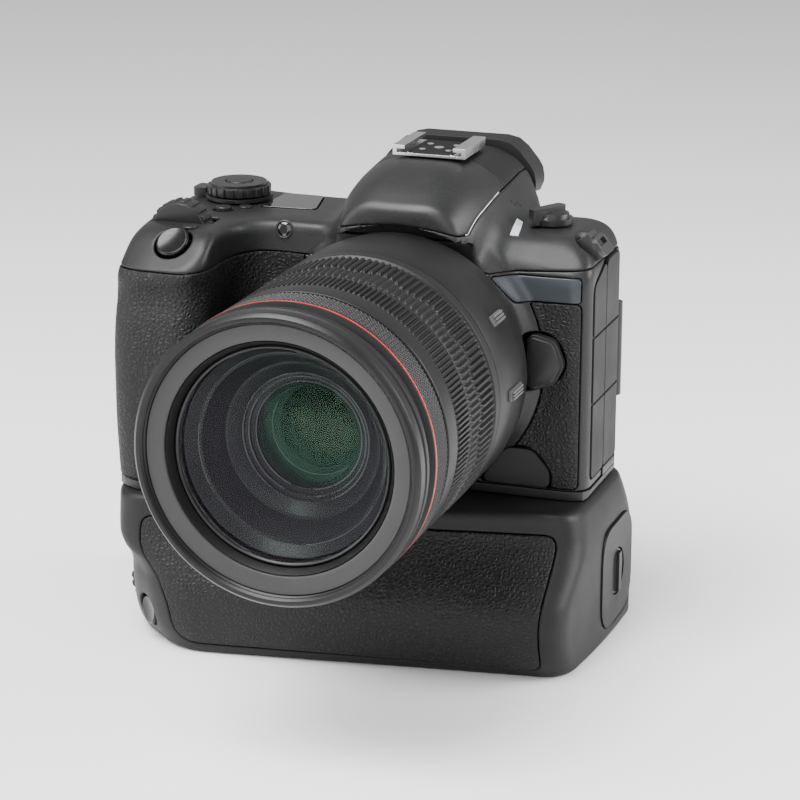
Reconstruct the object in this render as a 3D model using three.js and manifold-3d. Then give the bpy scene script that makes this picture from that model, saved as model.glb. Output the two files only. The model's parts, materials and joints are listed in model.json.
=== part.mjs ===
// An interchangeable-lens camera with a standard zoom lens and a screwed-on vertical battery grip.
// Millimetres. +Z is up, the lens looks along -Y, +X is the side with the connector covers.
// The origin lies under the optical axis, on the base plane, in the plane of the image sensor.
import * as THREE from "three";
import { mergeVertices } from "three/addons/utils/BufferGeometryUtils.js";
import Module from "manifold-3d";

const wasm = await Module();
wasm.setup();

// ------------------------------------------------------------------ driving dimensions
const seam = 0.25; // parting gap between neighbouring housing pieces
const play = 0.3; // clearance round a moving piece

const baseGripHeight = 47.5; // vertical grip: base plane to the deck the camera stands on
const axisAboveDeck = 41.7; // optical axis above the deck
const flangeDistance = 20; // mount face to sensor plane
const lensLength = 107.3; // mount face to front rim
const lensRadius = 41.75;
const filterRadius = 38.5;

const bodyLeft = -84; // hand-grip side
const bodyRight = 56; // connector side
const bodyFront = -14.5;
const bodyBack = 24;
const shoulderHeight = 80; // deck to the top plate
const humpHeight = 98.2; // deck to the top of the viewfinder hump
const wall = 2.6; // moulded housing wall
const skin = 1.1; // rubber covering

const shoeHalfWidth = 12.5;
const topDial = { x: -65, y: 9, radius: 10, height: 4 };
const mainDial = { x: -71, y: -21.5, radius: 9.5, width: 7, rise: 5.8 };
const shutter = { x: -67, y: -39, radius: 5.2 };
const plateauTilt = 41; // degrees the shutter plateau leans forward
const plateauDrop = 3.4; // shutter button centre below the top plate
const screen = { left: -23.5, right: 50.2, bottom: 11.5, top: 64.5, depth: 6.8 };
const magazine = { y0: -8, y1: 20, z0: 6, z1: 33, reach: 92 };

const facets = 32; // round pieces about the optical axis
const smallFacets = 14; // buttons and pins

// Heights on the camera are measured from the deck it stands on, heights on the grip from the base plane.
const axisZ = axisAboveDeck;
const topZ = shoulderHeight;
const humpZ = humpHeight;
const mountY = -flangeDistance;
const lensFrontY = mountY - lensLength;

// ------------------------------------------------------------------ colours
const finish = (color, roughness, metalness = 0) => ({ color, roughness, metalness });
const satinBlack = finish(0x1b1b1d, 0.55);
const matteBlack = finish(0x121213, 0.75);
const rubberBlack = finish(0x151516, 0.85);
const glossBlack = finish(0x050506, 0.12);
const alloy = finish(0xa8a9ab, 0.35, 1);
const redPaint = finish(0xb3131a, 0.4);
const glassTint = finish(0x20302c, 0.05);
const greyPlastic = finish(0x9a9aa2, 0.4);
const slate = finish(0x34363f, 0.35, 0.3);

// ------------------------------------------------------------------ geometry helpers
const degrees = THREE.MathUtils.degToRad;

// A manifold solid from a closed three.js geometry.
function solidOf(geometry) {
  const bare = geometry.clone();
  bare.deleteAttribute("normal");
  bare.deleteAttribute("uv");
  const merged = mergeVertices(bare, 1e-4);
  return new wasm.Manifold(
    new wasm.Mesh({
      numProp: 3,
      vertProperties: new Float32Array(merged.attributes.position.array),
      triVerts: new Uint32Array(merged.index.array),
    }),
  );
}

function geometryOf(solid) {
  const mesh = solid.getMesh();
  const positions = new Float32Array(mesh.numVert * 3);
  for (let i = 0; i < mesh.numVert; i += 1) {
    positions.set(mesh.vertProperties.subarray(i * mesh.numProp, i * mesh.numProp + 3), i * 3);
  }
  const geometry = new THREE.BufferGeometry();
  geometry.setAttribute("position", new THREE.BufferAttribute(positions, 3));
  geometry.setIndex(new THREE.BufferAttribute(new Uint32Array(mesh.triVerts), 1));
  geometry.computeVertexNormals();
  return geometry;
}

const union = (...solids) => solids.reduce((a, b) => a.add(b));

// Moves every side of an outline inwards by d; fillets shrink on outer corners and grow on inner ones.
function offsetCorners(corners, d) {
  const n = corners.length;
  const area = corners.reduce((sum, [x, y], i) => {
    const [nx, ny] = corners[(i + 1) % n];
    return sum + x * ny - nx * y;
  }, 0);
  const side = Math.sign(area);
  return corners.map(([x, y, radius = 0], i) => {
    const [px, py] = corners[(i + n - 1) % n];
    const [qx, qy] = corners[(i + 1) % n];
    const into = new THREE.Vector2(x - px, y - py).normalize();
    const out = new THREE.Vector2(qx - x, qy - y).normalize();
    const n0 = new THREE.Vector2(-into.y * side, into.x * side);
    const n1 = new THREE.Vector2(-out.y * side, out.x * side);
    const reach = d / (1 + n0.dot(n1));
    const convex = into.cross(out) * side > 0;
    const rounded = Math.max(convex ? radius - d : radius + d, 0.3);
    return [x + (n0.x + n1.x) * reach, y + (n0.y + n1.y) * reach, radius ? rounded : 0];
  });
}

// Reads a table of [station, value] rows, straight between neighbours.
function along(table, at) {
  const next = table.findIndex(([station]) => station > at);
  if (next < 0) return table.at(-1)[1];
  if (next === 0) return table[0][1];
  const [[s0, v0], [s1, v1]] = [table[next - 1], table[next]];
  const t = (at - s0) / (s1 - s0);
  return v0 + (v1 - v0) * t;
}

// A closed loop through corners [x, y, fillet radius], each fillet as an arc of `steps` segments.
function filletLoop(corners, steps = 2) {
  const points = [];
  const count = corners.length;
  corners.forEach(([x, y, radius = 0], i) => {
    const corner = new THREE.Vector2(x, y);
    const before = new THREE.Vector2(...corners[(i + count - 1) % count].slice(0, 2)).sub(corner);
    const after = new THREE.Vector2(...corners[(i + 1) % count].slice(0, 2)).sub(corner);
    if (radius < 1e-3) {
      points.push(corner);
      return;
    }
    const half = Math.acos(before.clone().normalize().dot(after.clone().normalize())) / 2;
    const limit = 0.48 * Math.min(before.length(), after.length());
    const setback = Math.min(radius / Math.tan(half), limit);
    const start = corner.clone().addScaledVector(before.normalize(), setback);
    const end = corner.clone().addScaledVector(after.normalize(), setback);
    const r = setback * Math.tan(half);
    const bisector = before.clone().add(after).normalize();
    const centre = corner.clone().addScaledVector(bisector, r / Math.sin(half));
    const a0 = Math.atan2(start.y - centre.y, start.x - centre.x);
    let sweep = Math.atan2(end.y - centre.y, end.x - centre.x) - a0;
    sweep = Math.atan2(Math.sin(sweep), Math.cos(sweep));
    for (let k = 0; k <= steps; k += 1) {
      const a = a0 + (sweep * k) / steps;
      points.push(new THREE.Vector2(centre.x + r * Math.cos(a), centre.y + r * Math.sin(a)));
    }
  });
  return points;
}

// A closed skin over loops of equally many points; place(x, y, height) puts a loop point in space.
function loft(sections, place = (x, y, h) => [x, y, h]) {
  const n = sections[0].loop.length;
  const positions = [];
  const faces = [];
  sections.forEach(({ loop, at }) => {
    loop.forEach((p) => positions.push(...place(p.x, p.y, at)));
  });
  for (let s = 0; s + 1 < sections.length; s += 1) {
    for (let i = 0; i < n; i += 1) {
      const j = (i + 1) % n;
      const [a, b, c, d] = [s * n + i, s * n + j, (s + 1) * n + j, (s + 1) * n + i];
      faces.push(a, b, c, a, c, d);
    }
  }
  const last = (sections.length - 1) * n;
  THREE.ShapeUtils.triangulateShape(sections[0].loop, []).forEach(([a, b, c]) => faces.push(c, b, a));
  THREE.ShapeUtils.triangulateShape(sections.at(-1).loop, []).forEach(([a, b, c]) =>
    faces.push(last + a, last + b, last + c),
  );
  const geometry = new THREE.BufferGeometry();
  geometry.setAttribute("position", new THREE.Float32BufferAttribute(positions, 3));
  geometry.setIndex(faces);
  const made = solidOf(geometry);
  if (made.volume() >= 0) return made;
  geometry.setIndex(faces.reverse());
  return solidOf(geometry);
}

const alongY = (x, z, y) => [x, y, z]; // loops drawn in the front view
const alongX = (y, z, x) => [x, y, z]; // loops drawn in the side view

function prism(corners, from, to, place, steps) {
  const loop = filletLoop(corners, steps);
  return loft([{ loop, at: from }, { loop, at: to }], place);
}

function box(x0, x1, y0, y1, z0, z1) {
  const geometry = new THREE.BoxGeometry(x1 - x0, y1 - y0, z1 - z0);
  return solidOf(geometry.translate((x0 + x1) / 2, (y0 + y1) / 2, (z0 + z1) / 2));
}

// A solid of revolution about +Y; the profile is a closed list of [radius, y].
function revolve(profile, segments = facets) {
  const area = profile.reduce((sum, [r, y], i) => {
    const [nr, ny] = profile[(i + 1) % profile.length];
    return sum + r * ny - nr * y;
  }, 0);
  const ordered = area > 0 ? [...profile] : [...profile].reverse();
  ordered.push(ordered[0]);
  const points = ordered.map(([r, y]) => new THREE.Vector2(r, y));
  return solidOf(new THREE.LatheGeometry(points, segments));
}

const disc = (radius, y0, y1, segments) =>
  revolve([[0, y0], [radius, y0], [radius, y1], [0, y1]], segments);

const tube = (inner, outer, y0, y1, segments) =>
  revolve([[inner, y0], [outer, y0], [outer, y1], [inner, y1]], segments);

// Turns a solid made about +Y so that its axis points along `direction`, and moves it to `position`.
function aim(solid, direction, position) {
  const q = new THREE.Quaternion().setFromUnitVectors(
    new THREE.Vector3(0, 1, 0),
    new THREE.Vector3(...direction).normalize(),
  );
  const m = new THREE.Matrix4().compose(new THREE.Vector3(...position), q, new THREE.Vector3(1, 1, 1));
  return solid.transform(m.toArray());
}

// A ring about +Y whose rim carries `count` ribs with sloping flanks.
function ribbedRing(bore, root, tip, count, y0, y1) {
  const loop = [];
  for (let i = 0; i < count; i += 1) {
    [[0, root], [0.28, root], [0.4, tip], [0.88, tip]].forEach(([share, r]) => {
      const a = ((i + share) / count) * 2 * Math.PI;
      loop.push(new THREE.Vector2(r * Math.cos(a), r * Math.sin(a)));
    });
  }
  const ribs = loft([{ loop, at: y0 }, { loop, at: y1 }], alongY);
  return bore > 0 ? ribs.subtract(disc(bore, y0 - 1, y1 + 1, facets)) : ribs;
}

// Sections of a stack whose bottom and top edges are rounded, as [height, inset] pairs.
function roundedEdges(z0, z1, bottom, top, steps = 3) {
  const list = [];
  for (let k = 0; k <= steps; k += 1) {
    const a = (k / steps) * (Math.PI / 2);
    if (bottom > 0) list.push([z0 + bottom * (1 - Math.sin(a)) , bottom * (1 - Math.cos(a))]);
  }
  list.reverse();
  if (!bottom) list.push([z0, 0]);
  if (!top) list.push([z1, 0]);
  for (let k = 0; k <= steps; k += 1) {
    const a = (k / steps) * (Math.PI / 2);
    if (top > 0) list.push([z1 - top * (1 - Math.sin(a)), top * (1 - Math.cos(a))]);
  }
  return list.filter(([z], i) => i === 0 || z > list[i - 1][0] + 1e-6);
}

// ------------------------------------------------------------------ outer forms of the body
const far = 200; // half size of the blocks that cut space in two

// Front of the hand grip against height: swells for the palm, waisted under the shutter button.
const gripNose = [
  [0, -48.5],
  [20, -51],
  [44, -51.3],
  [56, -49],
  [62.5, -47],
  [67.5, -49.6],
  [topZ, -48],
];

// Plan outline of the body: a shallow box with the hand grip standing out at its left front.
function bodyOutline(z) {
  const nose = along(gripNose, z);
  return [
    [bodyRight, bodyFront, 5],
    [bodyRight, bodyBack, 6],
    [bodyLeft, bodyBack, 9],
    [bodyLeft - 1, -43.5, 7],
    [-76.5, nose, 9],
    [-56.5, nose + 1, 8],
    [-53.5, bodyFront + 1.5, 6],
    [-43, bodyFront, 9],
  ];
}

// Front-view outline that rounds the shoulders over the strap lugs.
const bodyFrontView = [
  [bodyRight, 0, 2],
  [bodyRight, topZ + 1, 12],
  [bodyLeft - 0.4, topZ + 1, 5],
  [bodyLeft - 1, 0, 2],
];

// The whole body without its hump, `d` inside the outer surface.
function bodyForm(d) {
  const stations = roundedEdges(d, topZ - d, 0, 3.4, 2);
  gripNose.slice(1, -1).forEach(([z]) => stations.push([z, 0]));
  stations.sort((a, b) => a[0] - b[0]);
  const sections = stations.map(([z, inset]) => ({
    loop: filletLoop(offsetCorners(bodyOutline(z), d + inset)),
    at: z,
  }));
  const shoulders = prism(offsetCorners(bodyFrontView, d), -90, 60, alongY);
  return loft(sections).intersect(shoulders).subtract(plateauCut(d));
}

const plateauNormal = new THREE.Vector3(-0.1, -Math.sin(degrees(plateauTilt)), Math.cos(degrees(plateauTilt)));
const plateauPoint = [shutter.x, shutter.y, topZ - plateauDrop];

// Everything above the sloping plateau that carries the shutter button.
function plateauCut(d) {
  const block = box(-far, far, 0, far, -far, far);
  const start = new THREE.Vector3(...plateauPoint).addScaledVector(plateauNormal.clone().normalize(), -d);
  return aim(block, plateauNormal.toArray(), start.toArray());
}

// Front views of the viewfinder hump against depth: half widths at the foot and the top, shoulder, top.
const humpViews = [
  { y: -27.5, foot: 19.5, shoulder: 84.5, half: 11, top: 89.5, corner: 4 },
  { y: -13.5, foot: 24.5, shoulder: 84.5, half: 14, top: humpZ - 0.4, corner: 7 },
  { y: 0, foot: 27, shoulder: 85, half: 16, top: humpZ, corner: 8 },
  { y: 14, foot: 28.8, shoulder: 87, half: 18, top: humpZ + 0.3, corner: 8 },
  { y: 23, foot: 29, shoulder: 88, half: 19.5, top: humpZ + 0.3, corner: 8 },
  { y: 30, foot: 28, shoulder: 88, half: 19.5, top: humpZ - 0.2, corner: 8 },
];
const humpFootZ = topZ + seam;

function humpForm(d) {
  const sections = humpViews.map(({ y, foot, shoulder, half, top, corner }, i) => ({
    loop: filletLoop(
      offsetCorners(
        [
          [-foot, humpFootZ - 2 * d, 0],
          [foot, humpFootZ - 2 * d, 0],
          [foot, shoulder, 7],
          [half, top, corner],
          [-half, top, corner],
          [-foot, shoulder, 7],
        ],
        d,
      ),
      4,
    ),
    at: y + (i === 0 ? d : 0) - (i === humpViews.length - 1 ? d : 0),
  }));
  return loft(sections, alongY);
}

// Room for the lens under the overhanging front of the hump.
const lensClearance = () => disc(lensRadius + 0.6, lensFrontY, mountY + 1.5, facets).translate([0, 0, axisZ]);

// ------------------------------------------------------------------ seams between the housing pieces
// Front view of everything over the top cover's parting line, `gap` above it.
const topRegion = (gap) =>
  prism(
    [
      [-95, topZ - 11.2 + gap, 0],
      [-58, topZ - 10.8 + gap, 8],
      [-47, topZ - 9.6 + gap, 6],
      [-34, topZ - 10.2 + gap, 6],
      [48, topZ - 9.4 + gap, 5],
      [66, topZ - 6.8 + gap, 0],
      [66, 2 * topZ, 0],
      [-95, 2 * topZ, 0],
    ],
    -95,
    60,
    alongY,
    4,
  );

const splitY = 4; // front cover to rear cover
const bottomPlateTop = 3;
const gripSkinView = [
  [-34, bottomPlateTop + 0.6, 2],
  [-34, 117, 0],
  [-120, 117, 0],
  [-120, bottomPlateTop + 0.6, 0],
];
const sideSkinView = [
  [25, bottomPlateTop + 0.6, 2],
  [53, bottomPlateTop + 0.6, 2],
  [53, 61, 2],
  [33, 61, 2],
  [36.5, 53, 3],
  [36.5, 31, 3],
  [29, 19, 4],
];
const badgeView = [
  [26.5, 69.4, 0.6],
  [33.8, 61.6, 0.6],
  [48.6, 61.6, 0.6],
  [48.6, 69.6, 0.6],
];
const releaseView = [
  [37.5, 34, 2],
  [46, 37, 3],
  [49, 43, 4],
  [46, 50.5, 3],
  [37.5, 52.5, 2],
];
const remoteView = [
  [22.5, bottomPlateTop + 1, 1.5],
  [44.5, bottomPlateTop + 1, 1.5],
  [44.5, 9, 4],
  [39, 15.6, 4],
  [31, 15.6, 4],
];

const frontPocket = (view, gap, from, to) => prism(offsetCorners(view, -gap), from, to, alongY, 3);

// ------------------------------------------------------------------ body housing
const bossRadius = 37.5;
const bossFoot = bossRadius + 4.5;
const mountBore = 33.2;
const bossClearance = () => disc(bossFoot + seam, -far, 0, facets).translate([0, 0, axisZ]);

function mountBoss() {
  const boss = revolve([
    [mountBore, -10],
    [bossFoot, -10],
    [bossFoot, bodyFront],
    [bossRadius, mountY + 0.6],
    [mountBore, mountY + 0.6],
  ], facets);
  return boss.translate([0, 0, axisZ]);
}

function frontCover() {
  const outer = bodyForm(0);
  const under = bodyForm(skin + seam);
  const covered = union(
    frontPocket(gripSkinView, seam, -95, 50),
    frontPocket(sideSkinView, seam, -95, 0),
  );
  const shell = outer.subtract(covered).add(under).subtract(bodyForm(skin + wall));
  return shell
    .subtract(box(-far, far, splitY, far, -far, far))
    .add(mountBoss())
    .subtract(box(-far, far, -far, far, -far, bottomPlateTop + seam))
    .subtract(topRegion(-seam))
    .subtract(disc(mountBore, -60, 10, facets).translate([0, 0, axisZ]))
    .subtract(frontPocket(badgeView, seam, -40, bodyFront + 1.1))
    .subtract(frontPocket(releaseView, play, -40, bodyFront + 2.2))
    .subtract(frontPocket(remoteView, seam, -40, bodyFront + 1.4))
    .subtract(lugRecess())
    .subtract(strapLug(-1, seam))
    .subtract(portRecess());
}

function coveringSkin(view, from, to) {
  return bodyForm(0)
    .subtract(bodyForm(skin))
    .intersect(frontPocket(view, 0, from, to))
    .subtract(topRegion(-seam))
    .subtract(frontPocket(badgeView, seam, -40, 0))
    .subtract(frontPocket(releaseView, play, -40, 0))
    .subtract(frontPocket(remoteView, seam, -40, 0))
    .subtract(bossClearance())
    .subtract(strapLug(-1, seam));
}

const gripSkin = () => coveringSkin(gripSkinView, -95, splitY);
const sideSkin = () => coveringSkin(sideSkinView, -95, -2);

function topCover() {
  const shell = bodyForm(0).subtract(bodyForm(wall)).intersect(topRegion(0));
  const dialHole = disc(mainDial.radius + 0.8, mainDial.y - mainDial.width / 2 - play - 0.3,
    mainDial.y + mainDial.width / 2 + play + 0.3, smallFacets + 6).translate([mainDial.x, 0, mainDialZ]);
  const cuts = union(
    dialHole,
    shutterWell(),
    displayWindowForm(seam),
    lugRecess(),
    disc(topDial.radius - 3, -10, 10, smallFacets).rotate([90, 0, 0]).translate([topDial.x, topDial.y, topZ]),
    disc(2.9, -6, 6, smallFacets).rotate([90, 0, 0]).translate([recordButtonAt[0], recordButtonAt[1], topZ]),
    lensClearance(),
    bossClearance(),
  );
  return shell.subtract(cuts);
}

const recordButtonAt = [-64, -6.5];
const mainDialZ = topZ + mainDial.rise - mainDial.radius;

// Round well in the plateau for the shutter button.
function shutterWell() {
  return aim(disc(shutter.radius + play, -8, 6, smallFacets + 6), plateauNormal.toArray(), plateauPoint);
}

function displayWindowForm(gap) {
  const view = [
    [-55, 1, 1.5],
    [-37, 2.5, 1.5],
    [-41, 20.5, 2],
    [-54, 20.5, 2],
  ];
  return prism(offsetCorners(view, -gap), topZ - 1.2 - gap, topZ + 5, undefined, 3);
}

// Scooped hollow under the right shoulder in which the strap lug sits.
function lugRecess() {
  const scoop = new THREE.SphereGeometry(7.2, 16, 10).scale(1.15, 1.2, 0.9);
  return solidOf(scoop.rotateY(degrees(35)).translate(bodyRight - 1.2, 1, topZ - 0.5)).add(strapLug(1, seam));
}

function humpCover() {
  const shell = humpForm(0).subtract(humpForm(wall));
  const shoePad = box(-shoeHalfWidth - 1, shoeHalfWidth + 1, -1.5, humpSplitY, humpZ - 2.2, humpZ + 0.6);
  return shell
    .add(shoePad)
    .subtract(box(-far, far, humpSplitY, far, -far, far))
    .subtract(lensClearance());
}

const humpSplitY = 7;

// Matte rear half of the hump: holds the viewfinder optics, with the eyepiece tunnel through its back.
function evfHousing() {
  const shoePad = box(-shoeHalfWidth - 1, shoeHalfWidth + 1, humpSplitY + seam, 23, humpZ - 2.2, humpZ + 0.6);
  const shell = humpForm(0).add(shoePad).subtract(humpForm(wall));
  const shoeStep = box(-shoeHalfWidth - 1, shoeHalfWidth + 1, -far, 23, humpZ + 0.6, far);
  return shell
    .subtract(shoeStep)
    .subtract(box(-far, far, -far, humpSplitY + seam, -far, far))
    .subtract(eyepieceTunnel(0));
}

const eyepieceView = [
  [-13, 79, 4],
  [13, 79, 4],
  [13, 95, 4],
  [-13, 95, 4],
];
const eyepieceTunnel = (gap) => prism(offsetCorners(eyepieceView, gap), 20, 50, alongY, 3);

function rearCover() {
  const pocket = box(screen.left - 0.8, bodyRight + 10, bodyBack - 3.2, far, screen.bottom - 0.8, screen.top + 0.8);
  return bodyForm(0)
    .subtract(bodyForm(wall))
    .add(bodyForm(0).intersect(box(screen.left - 3.4, far, bodyBack - 5.8, far, screen.bottom - 3, screen.top + 3)))
    .subtract(box(-far, far, -far, splitY + seam, -far, far))
    .subtract(topRegion(-seam))
    .subtract(box(-far, far, -far, far, -far, bottomPlateTop + seam))
    .subtract(pocket)
    .subtract(lugRecess())
    .subtract(portRecess())
    .subtract(cardDoorForm(play))
    .subtract(rearWell(rearDialAt, rearDialRadius + 0.5, 2.4))
    .subtract(rearWell(joystickAt, 3.6, 4))
    .subtract(rearWell(afOnAt, 3.3, 4))
    .subtract(rearWell(menuAt, 2.9, 4));
}

const rearDialAt = [-54, 31];
const rearDialRadius = 14.5;
const joystickAt = [-44, 61];
const afOnAt = [-58, 62];
const menuAt = [24, 67.2];

const rearWell = ([x, z], radius, depth) =>
  disc(radius, bodyBack - depth, bodyBack + 5, smallFacets + 6).translate([x, 0, z]);

function bottomPlate() {
  return bodyForm(0)
    .intersect(box(-far, far, -far, far, seam, bottomPlateTop))
    .subtract(box(-48, -32, -6, 8, -1, bottomPlateTop + 1));
}

// ------------------------------------------------------------------ inside the body
// Box frame behind the mount with a throat to the sensor.
function chassis() {
  const frame = prism(
    [
      [-31, bottomPlateTop + 3, 3],
      [31, bottomPlateTop + 3, 3],
      [31, 65, 6],
      [-31, 65, 6],
    ],
    -9.6,
    6,
    alongY,
    2,
  );
  const throat = disc(25.5, -20, 2.5, facets).translate([0, 0, axisZ]);
  const sensorSeat = box(-20.5, 20.5, 2, 20, axisZ - 14.5, axisZ + 14.5);
  return frame.subtract(throat).subtract(sensorSeat);
}

const imageSensor = () => box(-20, 20, 2.3, 6, axisZ - 14, axisZ + 14).add(
  box(-18, 18, 0.2, 3, axisZ - 12, axisZ + 12),
);

// Bayonet ring with the three claws' gaps in its lip.
function mountRing() {
  const ring = revolve([
    [27.5, mountY + 0.3],
    [mountBore - 0.3, mountY + 0.3],
    [mountBore - 0.3, -10],
    [26.2, -10],
    [26.2, mountY + 5.5],
    [27.5, mountY + 5.5],
  ], smallFacets + 6);
  const lip = tube(25.4, 26.6, mountY + 5.5, mountY + 7, smallFacets + 6);
  const gaps = [20, 140, 260].map((a) => {
    const wedge = box(20, 27.3, mountY + 5.2, mountY + 7.3, -7, 7);
    return wedge.rotate([0, a, 0]);
  });
  return ring.add(lip).subtract(union(...gaps)).translate([0, 0, axisZ]);
}

// ------------------------------------------------------------------ fittings on the body
function hotShoe() {
  const y0 = 1.6;
  const y1 = 22;
  const w = shoeHalfWidth - 1;
  const z0 = humpZ + 0.9;
  const plate = box(-w, w, y0, y1, z0, z0 + 0.8);
  const sides = [-1, 1].map((s) => {
    const wallBar = box(-0.6, 0.6, y0, y1, z0, z0 + 2.4).translate([s * (w - 0.6), 0, 0]);
    const rail = box(-1.9, 1.9, y0, y1, z0 + 2, z0 + 3.1).translate([s * (w - 1.9), 0, 0]);
    return wallBar.add(rail);
  });
  const contactBlock = box(-w + 4.4, w - 4.4, y0 + 0.8, y1 - 0.8, z0 + 0.4, z0 + 0.9);
  return union(plate, contactBlock, ...sides);
}

function eyecup() {
  const outer = [
    [-25.5, humpFootZ + 0.5, 6],
    [25.5, humpFootZ + 0.5, 6],
    [25.5, humpZ - 8, 8],
    [17.5, humpZ + 1.6, 9],
    [-17.5, humpZ + 1.6, 9],
    [-25.5, humpZ - 8, 8],
  ];
  const sections = [
    [30.3, 0],
    [34, 1.5],
    [41, 0.4],
    [43.5, 1.6],
  ];
  const cup = loft(sections.map(([y, d]) => ({ loop: filletLoop(offsetCorners(outer, d)), at: y })), alongY);
  const opening = [
    [30, -0.5],
    [36, 0],
    [44, -3],
  ];
  const hollow = loft(
    opening.map(([y, d]) => ({ loop: filletLoop(offsetCorners(eyepieceView, d), 4), at: y })),
    alongY,
  );
  return cup.subtract(hollow);
}

const eyepieceLens = () => prism(offsetCorners(eyepieceView, play), 26, 29.5, alongY, 3);

// Steel loop on a boss; the strap threads through its slot.
function strapLug(side, gap = 0) {
  const boss = box(-2.2 - gap, 2.2, -3.2 - gap, 3.2 + gap, -4.2 - gap, 4.2 + gap);
  const eye = prism(
    offsetCorners(
      [
        [-5, -4.2, 1.5],
        [5, -4.2, 1.5],
        [5, 2.4, 2.5],
        [-5, 2.4, 2.5],
      ],
      -gap,
    ),
    1.8 - gap,
    3.4 + gap,
    alongX,
    3,
  );
  const slot = box(1, 5, -3.4, 3.4, -1, 0.9);
  const lug = gap ? boss.add(eye) : boss.add(eye).subtract(slot);
  if (side > 0) return lug.rotate([0, -38, 0]).translate([bodyRight - 3.6, 1, topZ - 4.2]);
  return lug.rotate([0, 180, 0]).translate([bodyLeft - 1.4, 0, topZ - 20]);
}

// ------------------------------------------------------------------ doors and covers
const portView = { y0: -8.5, y1: 19, z0: 6, z1: 71 };
const portSplitY = 4.6;
const portDrop = 5; // the front cover's top edge falls away by this much
const coverThickness = 1.5;

// Shallow recess in the connector side, open outwards.
function portRecess() {
  const view = [
    [portView.y0 - play, portView.z0 - play, 2],
    [portView.y1 + play, portView.z0 - play, 2],
    [portView.y1 + play, portView.z1 + play, 2],
    [portSplitY, portView.z1 + play, 1],
    [portView.y0 - play, portView.z1 - portDrop + play, 3],
  ];
  return prism(view, bodyRight - coverThickness - play, bodyRight + 10, alongX, 3);
}

// Soft cover over the connectors; the panel's front edge is its hinge.
function portCover(y0, y1, topDrop) {
  const view = [
    [y0, portView.z0, 1.5],
    [y1, portView.z0, 1.5],
    [y1, portView.z1, 1.5],
    [y0, portView.z1 - topDrop, 3],
  ];
  const panel = prism(view, bodyRight - coverThickness, bodyRight - 0.1, alongX, 3);
  const grooves = [0.36, 0.68].map((share) => {
    const z = portView.z0 + share * (portView.z1 - portView.z0);
    return box(bodyRight - 0.6, bodyRight + 1, y0 - 1, y1 + 1, z - 0.35, z + 0.35);
  });
  return panel.subtract(union(...grooves));
}

const cardDoorView = { y0: splitY + 1.5, y1: bodyBack - 7, z0: 10, z1: 60 };

function cardDoorForm(gap) {
  const view = [
    [cardDoorView.y0 - gap, cardDoorView.z0 - gap, 2],
    [cardDoorView.y1 + gap, cardDoorView.z0 - gap, 2],
    [cardDoorView.y1 + gap, cardDoorView.z1 + gap, 2],
    [cardDoorView.y0 - gap, cardDoorView.z1 + gap, 2],
  ];
  return prism(view, bodyLeft - 1.6, bodyLeft + 1.6 + gap, alongX, 3);
}

const remoteCover = () => frontPocket(remoteView, 0, bodyFront - 0.9, bodyFront + 1);

function releaseButton() {
  const cap = frontPocket(releaseView, 0, bodyFront - 2.4, bodyFront + 0.6);
  const crown = frontPocket(offsetCorners(releaseView, 1), 0, bodyFront - 3, bodyFront - 2);
  return cap.add(crown);
}

// ------------------------------------------------------------------ top controls
function shutterButton() {
  const button = revolve([[0, -2], [shutter.radius, -2], [shutter.radius, 0.4],
    [shutter.radius - 0.5, 0.9], [3, 0.55], [0, 0.4]], facets);
  return aim(button, plateauNormal.toArray(), plateauPoint);
}

function ribbedDial(radius, y0, y1, count) {
  return ribbedRing(0, radius - 0.5, radius, count, y0, y1);
}

const upright = (solid) => solid.rotate([90, 0, 0]); // +Y becomes +Z

function mainDialWheel() {
  const { x, y, width, radius } = mainDial;
  const rim = ribbedDial(radius, -width / 2, width / 2 - 1.4, 20);
  const flange = disc(radius - 0.9, -width / 2 - 0.3, width / 2, 20);
  return rim.add(flange).translate([x, y, mainDialZ]);
}

function topDialWheel() {
  const { x, y, radius, height } = topDial;
  const rim = ribbedDial(radius, 0.4, height - 1, 20);
  const face = disc(radius - 1.2, 0.2, height, 20);
  const foot = disc(radius - 3.4, -wall + 0.6, 1, smallFacets);
  const bore = disc(4.5, 1.2, height + 1, smallFacets);
  return upright(union(rim, face, foot).subtract(bore)).translate([x, y, topZ + 1.4]);
}

function powerLever() {
  const collar = disc(topDial.radius + 0.6, 0, 1, smallFacets + 6);
  const tab = prism(
    [
      [-topDial.radius - 4.5, -3.5, 1.2],
      [-topDial.radius + 2, -3, 0.5],
      [-topDial.radius + 2, 3, 0.5],
      [-topDial.radius - 4.5, 3.5, 1.2],
    ],
    0,
    2.6,
    (x, z, y) => [x, y, z],
    3,
  );
  const clear = disc(topDial.radius + 0.5, 1, 5, smallFacets + 6);
  const hole = disc(topDial.radius - 3.1, -1, 2, smallFacets);
  return upright(collar.add(tab).subtract(clear).subtract(hole)).translate([topDial.x, topDial.y, topZ + 0.3]);
}

const buttonCap = (radius, from, to) =>
  revolve([[0, from], [radius, from], [radius, to - 0.35], [radius - 0.4, to], [0, to]], smallFacets);

const modeButton = () =>
  upright(buttonCap(4.2, 2.1, topDial.height + 0.3)).translate([topDial.x, topDial.y, topZ + 1.4]);

const recordButton = () =>
  upright(buttonCap(2.6, -2.2, 0.8)).translate([recordButtonAt[0], recordButtonAt[1], topZ]);

const displayWindow = () => displayWindowForm(0).intersect(box(-far, far, -far, far, 0, topZ - 0.15));

const moviePivot = [37, 9];

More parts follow.
